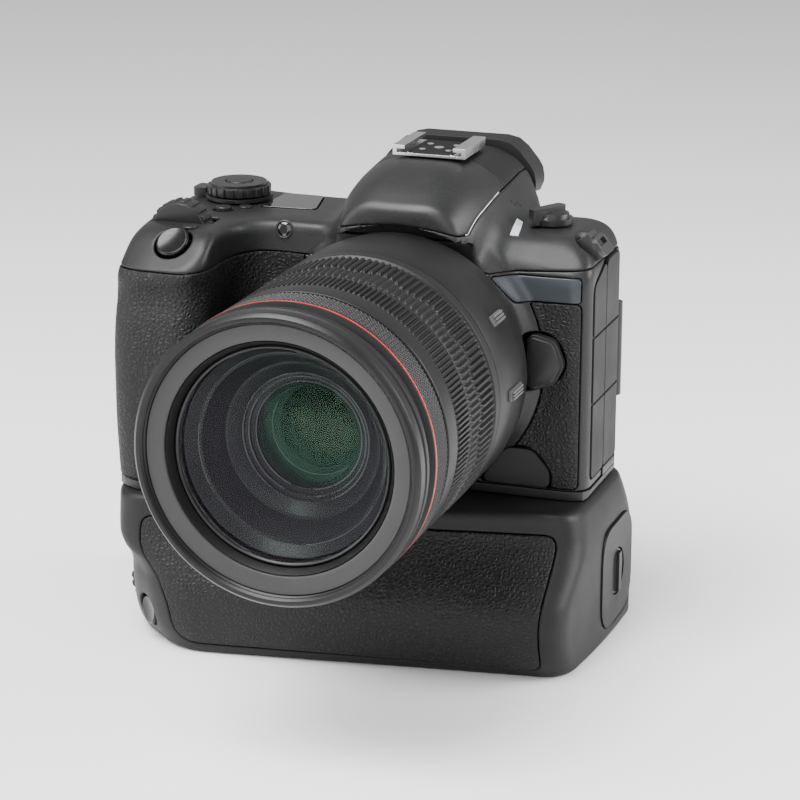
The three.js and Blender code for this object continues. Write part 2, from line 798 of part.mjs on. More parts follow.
// Two-position lever on the connector-side shoulder: a round foot with a raised finger bar.
function stillsMovieLever() {
  const foot = disc(6.4, 0.3, 2, smallFacets + 6);
  const crown = revolve([[0, 1.5], [5.6, 1.5], [5.2, 3.4], [4, 4], [0, 4]], smallFacets + 6);
  const bar = prism(
    [
      [-8.8, -1.6, 1.2],
      [4.6, -1.9, 1.2],
      [4.6, 1.9, 1.2],
      [-8.8, 1.6, 1.2],
    ],
    0.6,
    5.4,
    (x, z, y) => [x, y, z],
    3,
  );
  return upright(union(foot, crown, bar)).rotate([0, 0, 60]).translate([...moviePivot, topZ]);
}

// ------------------------------------------------------------------ back controls and monitor
function rearDial() {
  const rim = ribbedRing(7.3, rearDialRadius - 0.5, rearDialRadius, 18, 0.2, 2.2);
  const face = tube(7.3, rearDialRadius - 1.2, -1.6, 2.8, 20);
  return rim.add(face).translate([rearDialAt[0], bodyBack, rearDialAt[1]]);
}

const setButton = () => buttonCap(6.9, -1.6, 1.8).translate([rearDialAt[0], bodyBack, rearDialAt[1]]);
const afOnButton = () => buttonCap(3, -3, 1).translate([afOnAt[0], bodyBack, afOnAt[1]]);
const menuButton = () => buttonCap(2.6, -3, 0.9).translate([menuAt[0], bodyBack, menuAt[1]]);

function joystick() {
  const stem = disc(1.6, -3.4, 1, smallFacets);
  const cap = revolve([[0, 0.6], [3.1, 0.6], [3.3, 1.4], [3, 2.6], [1.6, 2.2], [0, 2]], smallFacets);
  return stem.add(cap).translate([joystickAt[0], bodyBack, joystickAt[1]]);
}

const screenY0 = bodyBack - 2.8;
const screenY1 = screenY0 + screen.depth;
const armPivot = [bodyRight - 3, screenY1 - 2.6];
const tiltZ = (screen.bottom + screen.top) / 2;
const tiltY = (screenY0 + screenY1) / 2;

// Hinge block that turns about its upright pin; the monitor tilts on the short shaft at its side.
function monitorArm() {
  const [x, y] = armPivot;
  const barrel = disc(2.4, -15, 15, smallFacets).rotate([90, 0, 0]).translate([x, y, tiltZ]);
  const block = box(screen.right + 0.5, x, screenY0 + 0.6, screenY1 - 0.4, tiltZ - 15, tiltZ + 15);
  const shaft = disc(2, 0, 7, smallFacets).rotate([0, 0, 90]).translate([screen.right + 1, tiltY, tiltZ]);
  return union(barrel, block, shaft);
}

function monitorCase() {
  const view = [
    [screen.left, screen.bottom, 3],
    [screen.right, screen.bottom, 3],
    [screen.right, screen.top, 3],
    [screen.left, screen.top, 3],
  ];
  const sections = [
    [screenY0, 1],
    [screenY0 + 1, 0],
    [screenY1 - 0.8, 0],
    [screenY1, 0.8],
  ];
  const shell = loft(
    sections.map(([y, d]) => ({ loop: filletLoop(offsetCorners(view, d), 4), at: y })),
    alongY,
  );
  const shaftHole = disc(2.3, 0, 7.6, smallFacets).rotate([0, 0, 90]).translate([screen.right + 1, tiltY, tiltZ]);
  return shell.subtract(monitorGlassForm(seam)).subtract(shaftHole);
}

function monitorGlassForm(gap) {
  const view = [
    [screen.left + 2.5, screen.bottom + 2.5, 1.5],
    [screen.right - 2.5, screen.bottom + 2.5, 1.5],
    [screen.right - 2.5, screen.top - 2.5, 1.5],
    [screen.left + 2.5, screen.top - 2.5, 1.5],
  ];
  return prism(offsetCorners(view, -gap), screenY1 - 1 - gap, screenY1 + (gap ? 2 : -0.1), alongY, 3);
}

// ------------------------------------------------------------------ vertical grip
const vgripLeft = -86;
const vgripRight = 61.2;
const vgripBack = 26;
const handStopFoot = 32; // below this the left front corner is cut off for the second release

// Front of the grip against height, at its connector end and at its hand-grip end.
const vgripNoseRight = [
  [0, -38],
  [4, -42.6],
  [9, -45.4],
  [15, -47.2],
  [20.5, -47],
  [26, -43.4],
  [30, -37.6],
  [36, -30],
  [41, -27.2],
  [baseGripHeight, -26],
];
const vgripNoseLeft = [
  [0, -56.4],
  [9, -59],
  [20.5, -59.6],
  [30, -57],
  [36, -54.8],
  [baseGripHeight, -53.6],
];

// How far the lower left corner draws in towards the base, as shares of the full cut.
const vgripCut = [
  [0, 1.4],
  [2, 1.25],
  [6, 1.1],
  [12, 1],
  [25, 0.9],
  [handStopFoot, 0.12],
  [36, 0],
];

// Plan outline of the grip: the front slants forward to the hand-grip end.
function vgripOutline(z) {
  const right = along(vgripNoseRight, z);
  const left = along(vgripNoseLeft, z);
  const cut = along(vgripCut, z);
  return [
    [vgripRight - 3.4, right, 7],
    [vgripRight, -12, 20],
    [vgripRight, vgripBack, 9],
    [vgripLeft + 1.4 * cut, vgripBack, 9],
    [vgripLeft + 2.6 * cut, left + 9 + 8.6 * cut, 9],
    [-78 + 13.6 * cut, left, 8],
  ];
}

// Front-view outline that rounds the deck's right and left edges.
const vgripFrontView = [
  [vgripRight + 1, -1, 0],
  [vgripRight, baseGripHeight - 10, 7],
  [bodyRight - 0.6, baseGripHeight + 0.2, 4],
  [vgripLeft + 0.4, baseGripHeight + 0.2, 4],
  [vgripLeft - 1, -1, 0],
];

function vgripForm(d) {
  const stations = roundedEdges(d, baseGripHeight - d, 1.6, 2, 2);
  [...vgripNoseRight, ...vgripCut].forEach(([z]) => stations.push([z, 0]));
  stations.sort((a, b) => a[0] - b[0]);
  const [low, high] = [1.6 + d, baseGripHeight - 2 - d];
  const clean = stations.filter(([z, inset], i) =>
    inset > 0 || (z >= low && z <= high && (i === 0 || z > stations[i - 1][0] + 0.9)));
  const sections = clean.map(([z, inset]) => ({
    loop: filletLoop(offsetCorners(vgripOutline(z), d + inset)),
    at: z,
  }));
  return loft(sections).intersect(prism(offsetCorners(vgripFrontView, d), -90, 60, alongY));
}

const vgripSkinView = [
  [-61, 3.2, 6],
  [51.4, 3.2, 3],
  [51.4, 41.6, 3],
  [-73.4, 41.6, 3],
  [-73.4, 31, 7],
  [-63.6, 19.4, 14],
];

const magazineForm = (gap, outer) =>
  box(vgripRight - magazine.reach - gap, outer, magazine.y0 - gap, magazine.y1 + gap,
    magazine.z0 - gap, magazine.z1 + gap);

function vgripHousing() {
  const skinRegion = frontPocket(vgripSkinView, seam, -95, -16);
  const outer = vgripForm(0);
  return outer
    .subtract(skinRegion)
    .add(vgripForm(skin + seam))
    .subtract(magazineForm(play, far))
    .subtract(endCapForm(play))
    .subtract(aim(disc(vgripShutterRadius + play, -6, 8, smallFacets + 6), vgripShutterNormal, vgripShutterAt))
    .subtract(vgripDialWell())
    .subtract(tripodSocket());
}

const tripodSocket = () =>
  disc(3.2, -1, 8, smallFacets + 6).rotate([90, 0, 0]).translate([0, 12, 0]);

const vgripLeather = () =>
  vgripForm(0)
    .subtract(vgripForm(skin))
    .intersect(frontPocket(vgripSkinView, 0, -95, -16))
    .subtract(aim(disc(vgripShutterRadius + 2, -6, 8, smallFacets + 6), vgripShutterNormal, vgripShutterAt));

const endCapView = [
  [magazine.y0 - 3, magazine.z0 - 2, 9],
  [magazine.y1 + 3, magazine.z0 - 2, 9],
  [magazine.y1 + 3, magazine.z1 + 3, 9],
  [magazine.y0 - 3, magazine.z1 + 3, 9],
];
const endCapForm = (gap) => prism(offsetCorners(endCapView, -gap), vgripRight - 2.4 - gap, vgripRight + 5, alongX, 5);

// Tray for two cells side by side, with the end cap that closes the grip.
function batteryMagazine() {
  const cap = endCapForm(0).intersect(box(-far, vgripRight - 0.2, -far, far, -far, far));
  const latchWell = disc(7.6, -1.5, 10, smallFacets + 6).rotate([0, 0, -90]).translate([vgripRight - 0.2, latchAt[0], latchAt[1]]);
  const tray = magazineForm(0, vgripRight - 2);
  const cellBay = box(vgripRight - magazine.reach + 2, vgripRight - 6, magazine.y0 + 2, magazine.y1 - 2,
    magazine.z0 + 2, magazine.z1 + 5);
  return cap.add(tray.subtract(cellBay)).subtract(latchWell);
}

const latchAt = [6, 19.5];

function magazineLatch() {
  const plate = disc(7.2, -1.1, -0.1, smallFacets + 6);
  const bar = box(-1.5, 1.5, -0.2, 1.2, -6.4, 6.4);
  return plate.add(bar).rotate([0, 0, -90]).translate([vgripRight - 0.4, latchAt[0], latchAt[1]]);
}

const vgripShutterRadius = 4.6;
const vgripShutterAt = [-71.8, -49.3, 9.8];
const vgripShutterNormal = [-0.65, -0.76, 0];

function vgripShutterButton() {
  const button = revolve([[0, -1.6], [vgripShutterRadius, -1.6], [vgripShutterRadius, 1],
    [vgripShutterRadius - 0.5, 1.5], [2.5, 1.2], [0, 1.1]], smallFacets + 6);
  return aim(button, vgripShutterNormal, vgripShutterAt);
}

const vgripWheel = { radius: 9, width: 6.6, rise: 0.9 };
const vgripDialAt = [vgripLeft + 1.9 + vgripWheel.radius - vgripWheel.rise, -32.4, 13.6];

// Slot in the grip's left side through which the second dial's rim stands.
const vgripDialWell = () =>
  disc(vgripWheel.radius + 0.8, -vgripWheel.width / 2 - play, vgripWheel.width / 2 + play, smallFacets + 6)
    .translate(vgripDialAt);

const vgripDial = () =>
  ribbedDial(vgripWheel.radius, -vgripWheel.width / 2, vgripWheel.width / 2, 18).translate(vgripDialAt);

// ------------------------------------------------------------------ lens
const sleeveOuter = 39.5;
const ringBore = sleeveOuter + play;
const sleeveBore = 37.3;
const innerBarrelRadius = sleeveBore - play;
const innerBarrelBackY = -53.5;
const sleeveFrontY = lensFrontY + 14.9;
const zoomRingY = [-82.2, -56.3];
const focusRingY = [-94.6, -82.6];
const bandY = [-102.7, -95];
const controlRingY = [-112.4, -103.1];
const lensAxis = (solid) => solid.translate([0, 0, axisZ]);

function lensBarrel() {
  const barrel = revolve([
    [33.4, mountY - 0.3],
    [36.5, mountY - 0.3],
    [39.6, mountY - 3.4],
    [40.7, mountY - 7.5],
    [lensRadius - 0.4, zoomRingY[1] + 4],
    [lensRadius - 0.4, zoomRingY[1] + 0.5],
    [sleeveOuter, zoomRingY[1] + 0.5],
    [sleeveOuter, sleeveFrontY],
    [sleeveBore, sleeveFrontY],
    [sleeveBore, innerBarrelBackY + 1],
    [24.5, innerBarrelBackY + 4],
    [22.5, innerBarrelBackY + 14],
    [22.5, mountY - 0.3],
  ], facets);
  return lensAxis(barrel.add(switchPanel()).subtract(union(...switchWells())));
}

// Raised pad on the connector side of the barrel that carries the two switches.
function switchPanel() {
  const pad = tube(lensRadius - 1.6, lensRadius + 0.35, -51.5, -33.5, 48);
  const wedge = loft(
    [
      { loop: filletLoop([[10, 0], [48, -8], [48, 36], [26, 40]]), at: -60 },
      { loop: filletLoop([[10, 0], [48, -8], [48, 36], [26, 40]]), at: -20 },
    ],
    alongY,
  );
  return pad.intersect(wedge.subtract(box(-60, 30, -61, -19, -60, 2)));
}

const switchSpots = [
  { angle: 32, y: -42, span: 9.6 },
  { angle: 1, y: -42.5, span: 11 },
];

const onRim = (solid, angle) => solid.rotate([0, -angle, 0]);

const switchWells = () =>
  switchSpots.map(({ angle, y, span }) =>
    onRim(box(lensRadius - 1.2, lensRadius + 3, y - span / 2, y + span / 2, -2.6, 2.6), angle),
  );

// Ribbed slider that moves round the barrel between its two settings.
function barrelSwitch({ angle, y, span }) {
  const base = box(lensRadius - 0.9, lensRadius + 0.3, y - span / 2 + play, y + span / 2 - play, -1.6, 1.6);
  const ridges = [-1, 0, 1].map((i) =>
    box(lensRadius, lensRadius + 1.1, y - span / 2 + 1, y + span / 2 - 1, i - 0.28, i + 0.28),
  );
  return lensAxis(onRim(union(base, ...ridges).translate([0, 0, -0.6]), angle));
}

const lensBand = () => lensAxis(tube(sleeveOuter + 0.3, lensRadius - 0.2, bandY[0], bandY[1], facets));

// Bayonet claws that turn into the body's mount ring.
function lensMount() {
  const flange = tube(23, 33, mountY - 0.2, mountY + 0.1, smallFacets + 6);
  const collar = tube(23, 25.6, mountY - 0.2, mountY + 4.8, smallFacets + 6);
  return lensAxis(flange.add(collar));
}

const rearElement = () =>
  lensAxis(revolve([[0, -30], [12, -29], [20, -26.5], [22, -26], [22, -23], [16, -24.4], [0, -25.4]], 28));

function zoomRing() {
  const [y0, y1] = zoomRingY;
  const ribs = ribbedRing(ringBore, lensRadius - 1, lensRadius, 32, y0, y1 - 4.4);
  const band = tube(ringBore, lensRadius - 0.1, y1 - 4.8, y1, facets);
  return lensAxis(ribs.add(band));
}

function focusRing() {
  const [y0, y1] = focusRingY;
  return lensAxis(ribbedRing(ringBore, lensRadius - 1, lensRadius - 0.1, 32, y0, y1));
}

function controlRing() {
  const [y0, y1] = controlRingY;
  return lensAxis(ribbedRing(ringBore, lensRadius - 0.7, lensRadius, 32, y0, y1));
}

// Telescoping tube that carries the whole front group.
const frontBarrel = () =>
  lensAxis(revolve([
    [innerBarrelRadius - 1.8, lensFrontY + 11.4],
    [innerBarrelRadius, lensFrontY + 11.4],
    [innerBarrelRadius, innerBarrelBackY],
    [innerBarrelRadius - 1.8, innerBarrelBackY],
  ], facets));

const bezelBackY = lensFrontY + 14.6;

// Front rim: flange, hood bayonet groove with its lugs, rounded rim and the filter seat.
function frontBezel() {
  const rim = revolve([
    [innerBarrelRadius + 0.3, bezelBackY],
    [lensRadius - 0.2, bezelBackY],
    [lensRadius, bezelBackY - 0.5],
    [lensRadius, bezelBackY - 2.4],
    [lensRadius - 1.5, bezelBackY - 2.7],
    [lensRadius - 1.5, bezelBackY - 5.8],
    [lensRadius - 0.3, bezelBackY - 6.3],
    [lensRadius - 0.2, lensFrontY + 1.6],
    [lensRadius - 1.2, lensFrontY],
    [filterRadius + 0.9, lensFrontY],
    [filterRadius, lensFrontY + 0.9],
    [filterRadius, lensFrontY + 5],
    [innerBarrelRadius + 0.3, lensFrontY + 5.4],
  ], facets);
  const lugs = [0, 120, 240].map((a) => {
    const sector = box(0, 60, bezelBackY - 5.7, bezelBackY - 3.9, -9, 9).rotate([0, a + 15, 0]);
    return tube(lensRadius - 1.6, lensRadius - 0.4, bezelBackY - 5.7, bezelBackY - 3.9, facets).intersect(sector);
  });
  return lensAxis(union(rim, ...lugs).subtract(tube(lensRadius - 0.9, lensRadius + 1,
    bezelBackY - 1.9, bezelBackY - 0.7, facets)));
}

const redRing = () =>
  lensAxis(tube(lensRadius - 0.6, lensRadius + 0.02, bezelBackY - 1.65, bezelBackY - 0.95, facets));

// Shallow cone inside the filter seat, with stepped light baffles behind it.
function nameRing() {
  return lensAxis(revolve([
    [filterRadius - 0.4, lensFrontY + 1.8],
    [filterRadius - 0.4, lensFrontY + 3.6],
    [innerBarrelRadius - 0.2, lensFrontY + 4.8],
    [innerBarrelRadius - 0.2, lensFrontY + 8.6],
    [32, lensFrontY + 11],
    [24, lensFrontY + 30],
    [22.6, lensFrontY + 30],
    [28.5, lensFrontY + 11],
    [30.4, lensFrontY + 8.5],
    [30.4, lensFrontY + 4.4],
    [33, lensFrontY + 3.2],
    [33.2, lensFrontY + 2.4],
  ], facets));
}

// A lens element: both faces are arcs with the given sags, between radius-r rims at y0 and y1.
function element(radius, y0, y1, frontSag, backSag, segments = 24) {
  const profile = [];
  const steps = 3;
  for (let k = 0; k <= steps; k += 1) {
    const r = (radius * k) / steps;
    profile.push([r, y0 - frontSag * (1 - (k / steps) ** 2)]);
  }
  for (let k = steps; k >= 0; k -= 1) {
    const r = (radius * k) / steps;
    profile.push([r, y1 + backSag * (1 - (k / steps) ** 2)]);
  }
  return lensAxis(revolve(profile, segments));
}

const frontElement = () => element(30, lensFrontY + 6, lensFrontY + 7.6, 2.6, 0.6);
const innerElement = () => element(22, lensFrontY + 31, lensFrontY + 33.5, 1.5, 2.5);

// ------------------------------------------------------------------ assembly
const pieces = [
  ["front_cover", frontCover, satinBlack],
  ["top_cover", topCover, satinBlack],
  ["hump_cover", humpCover, satinBlack],
  ["evf_housing", evfHousing, matteBlack],
  ["rear_cover", rearCover, satinBlack],
  ["bottom_plate", bottomPlate, satinBlack],
  ["chassis", chassis, alloy],
  ["image_sensor", imageSensor, glassTint],
  ["mount_ring", mountRing, alloy],
  ["grip_leather", gripSkin, rubberBlack],
  ["side_leather", sideSkin, rubberBlack],
  ["badge_plate", () => frontPocket(badgeView, 0, bodyFront - 0.3, bodyFront + 0.8), slate],
  ["hot_shoe", hotShoe, alloy],
  ["eyecup", eyecup, rubberBlack],
  ["eyepiece_lens", eyepieceLens, glassTint],
  ["top_display_window", displayWindow, glossBlack],
  ["strap_lug_left", () => strapLug(-1), alloy],
  ["strap_lug_right", () => strapLug(1), matteBlack],
  ["shutter_button", shutterButton, glossBlack],
  ["main_dial", mainDialWheel, satinBlack],
  ["top_dial", topDialWheel, satinBlack],
  ["mode_button", modeButton, satinBlack],
  ["power_lever", powerLever, satinBlack],
  ["record_button", recordButton, satinBlack],
  ["stills_movie_lever", stillsMovieLever, satinBlack],
  ["release_button", releaseButton, satinBlack],
  ["remote_cover", remoteCover, rubberBlack],
  ["port_cover_front", () => portCover(portView.y0, portSplitY - seam, portDrop), rubberBlack],
  ["port_cover_rear", () => portCover(portSplitY + seam, portView.y1, 0), rubberBlack],
  ["card_door", () => cardDoorForm(0).intersect(bodyForm(0)), satinBlack],
  ["rear_dial", rearDial, satinBlack],
  ["set_button", setButton, satinBlack],
  ["joystick", joystick, rubberBlack],
  ["af_on_button", afOnButton, satinBlack],
  ["menu_button", menuButton, satinBlack],
  ["monitor_arm", monitorArm, satinBlack],
  ["monitor_case", monitorCase, satinBlack],
  ["monitor_glass", () => monitorGlassForm(0), glossBlack],
  ["vgrip_housing", vgripHousing, satinBlack],
  ["vgrip_leather", vgripLeather, rubberBlack],
  ["battery_magazine", batteryMagazine, matteBlack],
  ["magazine_latch", magazineLatch, satinBlack],
  ["vgrip_shutter_button", vgripShutterButton, glossBlack],
  ["vgrip_dial", vgripDial, satinBlack],
  ["lens_barrel", lensBarrel, satinBlack],
  ["lens_band", lensBand, satinBlack],
  ["lens_mount", lensMount, alloy],
  ["rear_element", rearElement, glassTint],
  ["zoom_ring", zoomRing, rubberBlack],
  ["focus_ring", focusRing, rubberBlack],
  ["control_ring", controlRing, satinBlack],
  ["front_barrel", frontBarrel, satinBlack],
  ["front_bezel", frontBezel, satinBlack],
  ["red_ring", redRing, redPaint],
  ["name_ring", nameRing, matteBlack],
  ["front_element", frontElement, glassTint],
  ["inner_element", innerElement, glassTint],
  ["focus_mode_switch", () => barrelSwitch(switchSpots[0]), greyPlastic],
  ["stabilizer_switch", () => barrelSwitch(switchSpots[1]), greyPlastic],
];

const gripPieces = new Set(["vgrip_housing", "vgrip_leather", "battery_magazine", "magazine_latch",
  "vgrip_shutter_button", "vgrip_dial"]);

const camera = new THREE.Group();
const standing = new THREE.Group(); // everything that stands on the grip's deck
standing.position.z = baseGripHeight;
camera.add(standing);
pieces.forEach(([name, make, { color, roughness, metalness }]) => {
  const material = new THREE.MeshStandardMaterial({ color, roughness, metalness });
  const mesh = new THREE.Mesh(geometryOf(make()), material);
  mesh.name = name;
  (gripPieces.has(name) ? camera : standing).add(mesh);
});

export default camera;
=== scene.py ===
# %% [markdown]
# An interchangeable-lens camera on a vertical battery grip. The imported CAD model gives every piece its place,
# size and motion. This file gives the pieces their real surfaces: smooth moulded shells that flow from the hand
# grip over the top plate into the viewfinder hump, a pebbled covering,
# fine ribs and knurls, and coated glass.

# %% Load the frame
import json
import math
import bmesh
import bpy
import numpy as np
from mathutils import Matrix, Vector


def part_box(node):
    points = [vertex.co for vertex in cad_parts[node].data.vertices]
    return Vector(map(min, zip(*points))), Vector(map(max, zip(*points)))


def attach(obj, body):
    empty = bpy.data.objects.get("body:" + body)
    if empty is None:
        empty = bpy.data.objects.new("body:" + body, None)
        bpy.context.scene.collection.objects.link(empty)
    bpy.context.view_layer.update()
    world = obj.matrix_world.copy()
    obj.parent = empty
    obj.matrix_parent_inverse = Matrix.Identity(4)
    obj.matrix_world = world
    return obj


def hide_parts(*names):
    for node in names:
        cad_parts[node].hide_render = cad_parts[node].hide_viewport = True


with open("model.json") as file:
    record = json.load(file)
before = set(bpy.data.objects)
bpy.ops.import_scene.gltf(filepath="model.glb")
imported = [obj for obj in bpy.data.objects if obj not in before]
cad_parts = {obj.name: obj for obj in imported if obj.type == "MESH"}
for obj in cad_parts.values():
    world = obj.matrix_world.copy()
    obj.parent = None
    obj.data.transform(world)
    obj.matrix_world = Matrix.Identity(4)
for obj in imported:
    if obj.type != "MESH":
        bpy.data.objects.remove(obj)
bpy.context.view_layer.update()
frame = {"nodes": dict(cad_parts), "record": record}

MM = 0.001


def corner_mm(node, which):
    """One corner of a CAD node's box, in millimetres: 0 is the lowest corner and 1 the highest."""
    return np.array(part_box(node)[which]) / MM


DECK = corner_mm("vgrip_housing", 1)[2]  # the grip's top, on which the camera stands
AXIS = (corner_mm("zoom_ring", 0)[2] + corner_mm("zoom_ring", 1)[2]) / 2  # height of the optical axis
TOP = corner_mm("top_cover", 1)[2] - DECK  # top plate above the deck
HUMP = corner_mm("hump_cover", 1)[2] - DECK - 0.6  # hump above the deck, without the shoe pad
LEFT = corner_mm("front_cover", 0)[0]
RIGHT = corner_mm("front_cover", 1)[0]
BACK = corner_mm("rear_cover", 1)[1]
FACE = corner_mm("side_leather", 0)[1]  # the flat front of the body
RIM = corner_mm("front_bezel", 0)[1]  # the lens's front rim
LENS_R = (corner_mm("lens_band", 1)[0] - corner_mm("lens_band", 0)[0]) / 2 + 0.2
AXIS_DECK = AXIS - DECK  # the optical axis above the deck
print(f"deck {DECK:.1f}, axis {AXIS:.1f}, top {TOP:.1f}, hump {HUMP:.1f}, lens radius {LENS_R:.2f} mm")

# %% [markdown]
# The camera looks from a little above and from the connector side. It stands far away with a long lens, so
# that the rings of the zoom stay nearly round, and a small shift puts the object where the frame wants it.

# %% Camera, floor and light
eye = np.array([274.3, -813.9, DECK + 286.5])
target = np.array([-5.0, -35.0, DECK + 32.0])
view_data = bpy.data.cameras.new("view")
view_data.sensor_width = 36.0
view_data.lens = 130.58
view_data.shift_x = 0.0348
view_data.shift_y = 0.0014
view_data.clip_start = 0.05
view_data.clip_end = 20.0
view_object = bpy.data.objects.new("view", view_data)
bpy.context.scene.collection.objects.link(view_object)
view_object.location = Vector(eye * MM)
view_object.rotation_euler = Vector((target - eye) * MM).to_track_quat("-Z", "Y").to_euler()
bpy.context.scene.camera = view_object


def area_light(name, place, aim_at, size, watts):
    """A soft square lamp at `place`, turned towards `aim_at`, both in millimetres."""
    data = bpy.data.lights.new(name, "AREA")
    data.shape = "SQUARE"
    data.size = size
    data.energy = watts
    lamp = bpy.data.objects.new(name, data)
    bpy.context.scene.collection.objects.link(lamp)
    lamp.location = Vector(place) * MM
    lamp.rotation_euler = (Vector(aim_at) - Vector(place)).to_track_quat("-Z", "Y").to_euler()


area_light("key_top", (-250, -350, 900), (0, -20, 80), 0.6, 21)
area_light("fill_left", (-800, -500, 330), (-40, -40, 80), 0.6, 5)
area_light("rim_right", (700, 150, 420), (30, 0, 90), 0.5, 9)
area_light("front_soft", (250, -1000, 480), (0, -60, 70), 0.9, 5)
world = bpy.data.worlds.new("studio")
world.use_nodes = True
world.node_tree.nodes["Background"].inputs["Color"].default_value = (1, 1, 1, 1)
world.node_tree.nodes["Background"].inputs["Strength"].default_value = 0.55
bpy.context.scene.world = world

floor_mesh = bpy.data.meshes.new("floor")
floor_mesh.from_pydata([(-4, -4, 0), (4, -4, 0), (4, 6, 0), (-4, 6, 0)], [], [(0, 1, 2, 3)])
floor = bpy.data.objects.new("floor", floor_mesh)
bpy.context.scene.collection.objects.link(floor)
floor_finish = bpy.data.materials.new("pale_floor")
floor_finish.use_nodes = True
floor_finish.node_tree.nodes["Principled BSDF"].inputs["Base Color"].default_value = (0.93, 0.93, 0.93, 1)
floor_finish.node_tree.nodes["Principled BSDF"].inputs["Roughness"].default_value = 0.7
floor_mesh.materials.append(floor_finish)

# %% [markdown]
# Everything smooth on the body is described by one number at each point in space: how far the point lies
# outside the surface. Forms are joined by a soft minimum and cut by a soft maximum, whose `soft` width is the
# radius that blends them, as a modeller's fillet does.

# %% Fields


def smooth_max(a, b, soft):
    """The larger of a and b, with a parabola of width `soft` rounding the corner where they are equal."""
    h = np.maximum(soft - np.abs(a - b), 0) / soft
    return np.maximum(a, b) + h * h * soft / 4


def smooth_min(a, b, soft):
    """The smaller of a and b, rounded the same way: minus the smooth larger of -a and -b."""
    return -smooth_max(-a, -b, soft)


def plane(p, normal, through):
    """Distance from a plane, positive on the side that its normal points to."""
    n = np.array(normal, float)
    n /= np.linalg.norm(n)
    return p[0] * n[0] + p[1] * n[1] + p[2] * n[2] - float(np.dot(n, through))


def curve(at, table, blur=2.0):
    """A table of (station, value) rows read with straight lines, averaged over `blur` to round its corners."""
    s, v = np.array(table, float).T
    return sum(w * np.interp(at + k * blur, s, v)
               for k, w in ((-1, 0.25), (-0.5, 0.2), (0, 0.1), (0.5, 0.2), (1, 0.25)))


def rounded_box(x, y, x0, x1, y0, y1, radius):
    """Signed distance to a rectangle with round corners: outside part plus the larger inside part."""
    dx = np.abs(x - (x0 + x1) / 2) - (x1 - x0) / 2 + radius
    dy = np.abs(y - (y0 + y1) / 2) - (y1 - y0) / 2 + radius
    return np.hypot(np.maximum(dx, 0), np.maximum(dy, 0)) + np.minimum(np.maximum(dx, dy), 0) - radius


GRIP_NOSE = [(0, -48.3), (10, -49.6), (22, -51), (44, -51.2), (54, -49.6),
              (61, -46.8), (65, -47.6), (69, -50), (TOP, -49.4)]
PLATEAU_POINT = (-67, -39, TOP - 3.4)
PLATEAU_NORMAL = (-0.1, -math.sin(math.radians(41)), math.cos(math.radians(41)))
HUMP_FOOT = [(-27.5, 19.7), (-13.5, 24.6), (0, 27), (14, 28.8), (23, 29), (31, 28.4)]
HUMP_HALF = [(-27.5, 12), (-13.5, 14.2), (0, 16.2), (14, 18), (23, 19.5), (31, 19.5)]


def hump_field(p):
    """The viewfinder hump: leaning sides whose foot and top widen backwards, a crowned top and a sloping brow."""
    x, y, z = p
    foot, half = curve(y, HUMP_FOOT), curve(y, HUMP_HALF)
    top = HUMP + 0.2 - 0.0022 * x * x
    lean = (foot - half) / (top - 85.5)
    side = (np.abs(x) - foot + (z - 85.5) * lean) / np.sqrt(1 + lean * lean)
    side = smooth_max(side, np.abs(x) - foot, 9)
    roof = smooth_max(z - top, plane((x, y, z), (0, -0.5, 0.86), (0, -13.5, HUMP - 0.6)), 6)
    brow = plane((x, y, z), (0, -1, 0.06), (0, -27.6, 84)) + 0.0016 * x * x
    body = smooth_max(smooth_max(side, roof, 8), brow, 2.2)
    return np.maximum(smooth_max(body, y - 30, 1.5), 60 - z)


def body_field(p):
    """The whole camera body in the deck's frame: shallow box, hand grip, shutter plateau, sloping shoulder, hump."""
    x, y, z = p
    nose = curve(z, GRIP_NOSE, 3.0)
    block = rounded_box(x, y, LEFT + 0.5, RIGHT, FACE, BACK, 6.5)
    grip_plan = rounded_box(x, y, LEFT, -54.6, -51, 20, 9.5)
    grip = np.where(y < 0, rounded_box(x, y * (51 / np.abs(nose)), LEFT, -54.6, -51, 20, 9.5), grip_plan)
    plan = smooth_min(block, grip, 15)
    front_view = rounded_box(x, z, LEFT, RIGHT, -40, TOP, 7.5)
    ends = np.where(x > 0, rounded_box(x, z, -90, RIGHT, -40, TOP, 13), front_view)
    top = z - TOP
    body = smooth_max(smooth_max(plan, top, 4.5), ends, 1.5)
    body = smooth_max(body, plane(p, PLATEAU_NORMAL, PLATEAU_POINT), 3.2)
    body = smooth_max(body, plane(p, (-0.62, -0.42, 0.66), (-83.6, -46, TOP - 8.0)), 9)
    shoulder = plane(p, (0.1, -0.72, 0.69), (30, FACE, TOP - 7.6))
    body = smooth_max(body, smooth_min(shoulder, x - 12, 4), 3.0)
    body = smooth_min(body, hump_field(p), 5.5)
    return smooth_max(body, 0.25 - z, 0.8)


# %% [markdown]
# A field becomes a mesh by surface nets: every grid cell that the surface crosses gets one point, at the mean of
# its edge crossings, and each crossed grid edge joins the four cells round it with one face. Two Newton steps
# then put the points on the true surface. Seams are cut into that mesh along exact curves.

# %% Meshing helpers


def gradient(field, p, h=0.05):
    """Central differences of a field at points p, shape (3, n)."""
    steps = np.eye(3)[:, :, None] * h
    return np.stack([(field(p + s) - field(p - s)) / (2 * h) for s in steps])


def settle(field, points, rounds=2):
    """Moves points along the field's gradient until the field there is 0."""
    p = points.T.copy()
    for _ in range(rounds):
        g = gradient(field, p)
        p -= g * np.clip(field(p) / np.maximum((g * g).sum(0), 0.2), -1.5, 1.5)
    return p.T


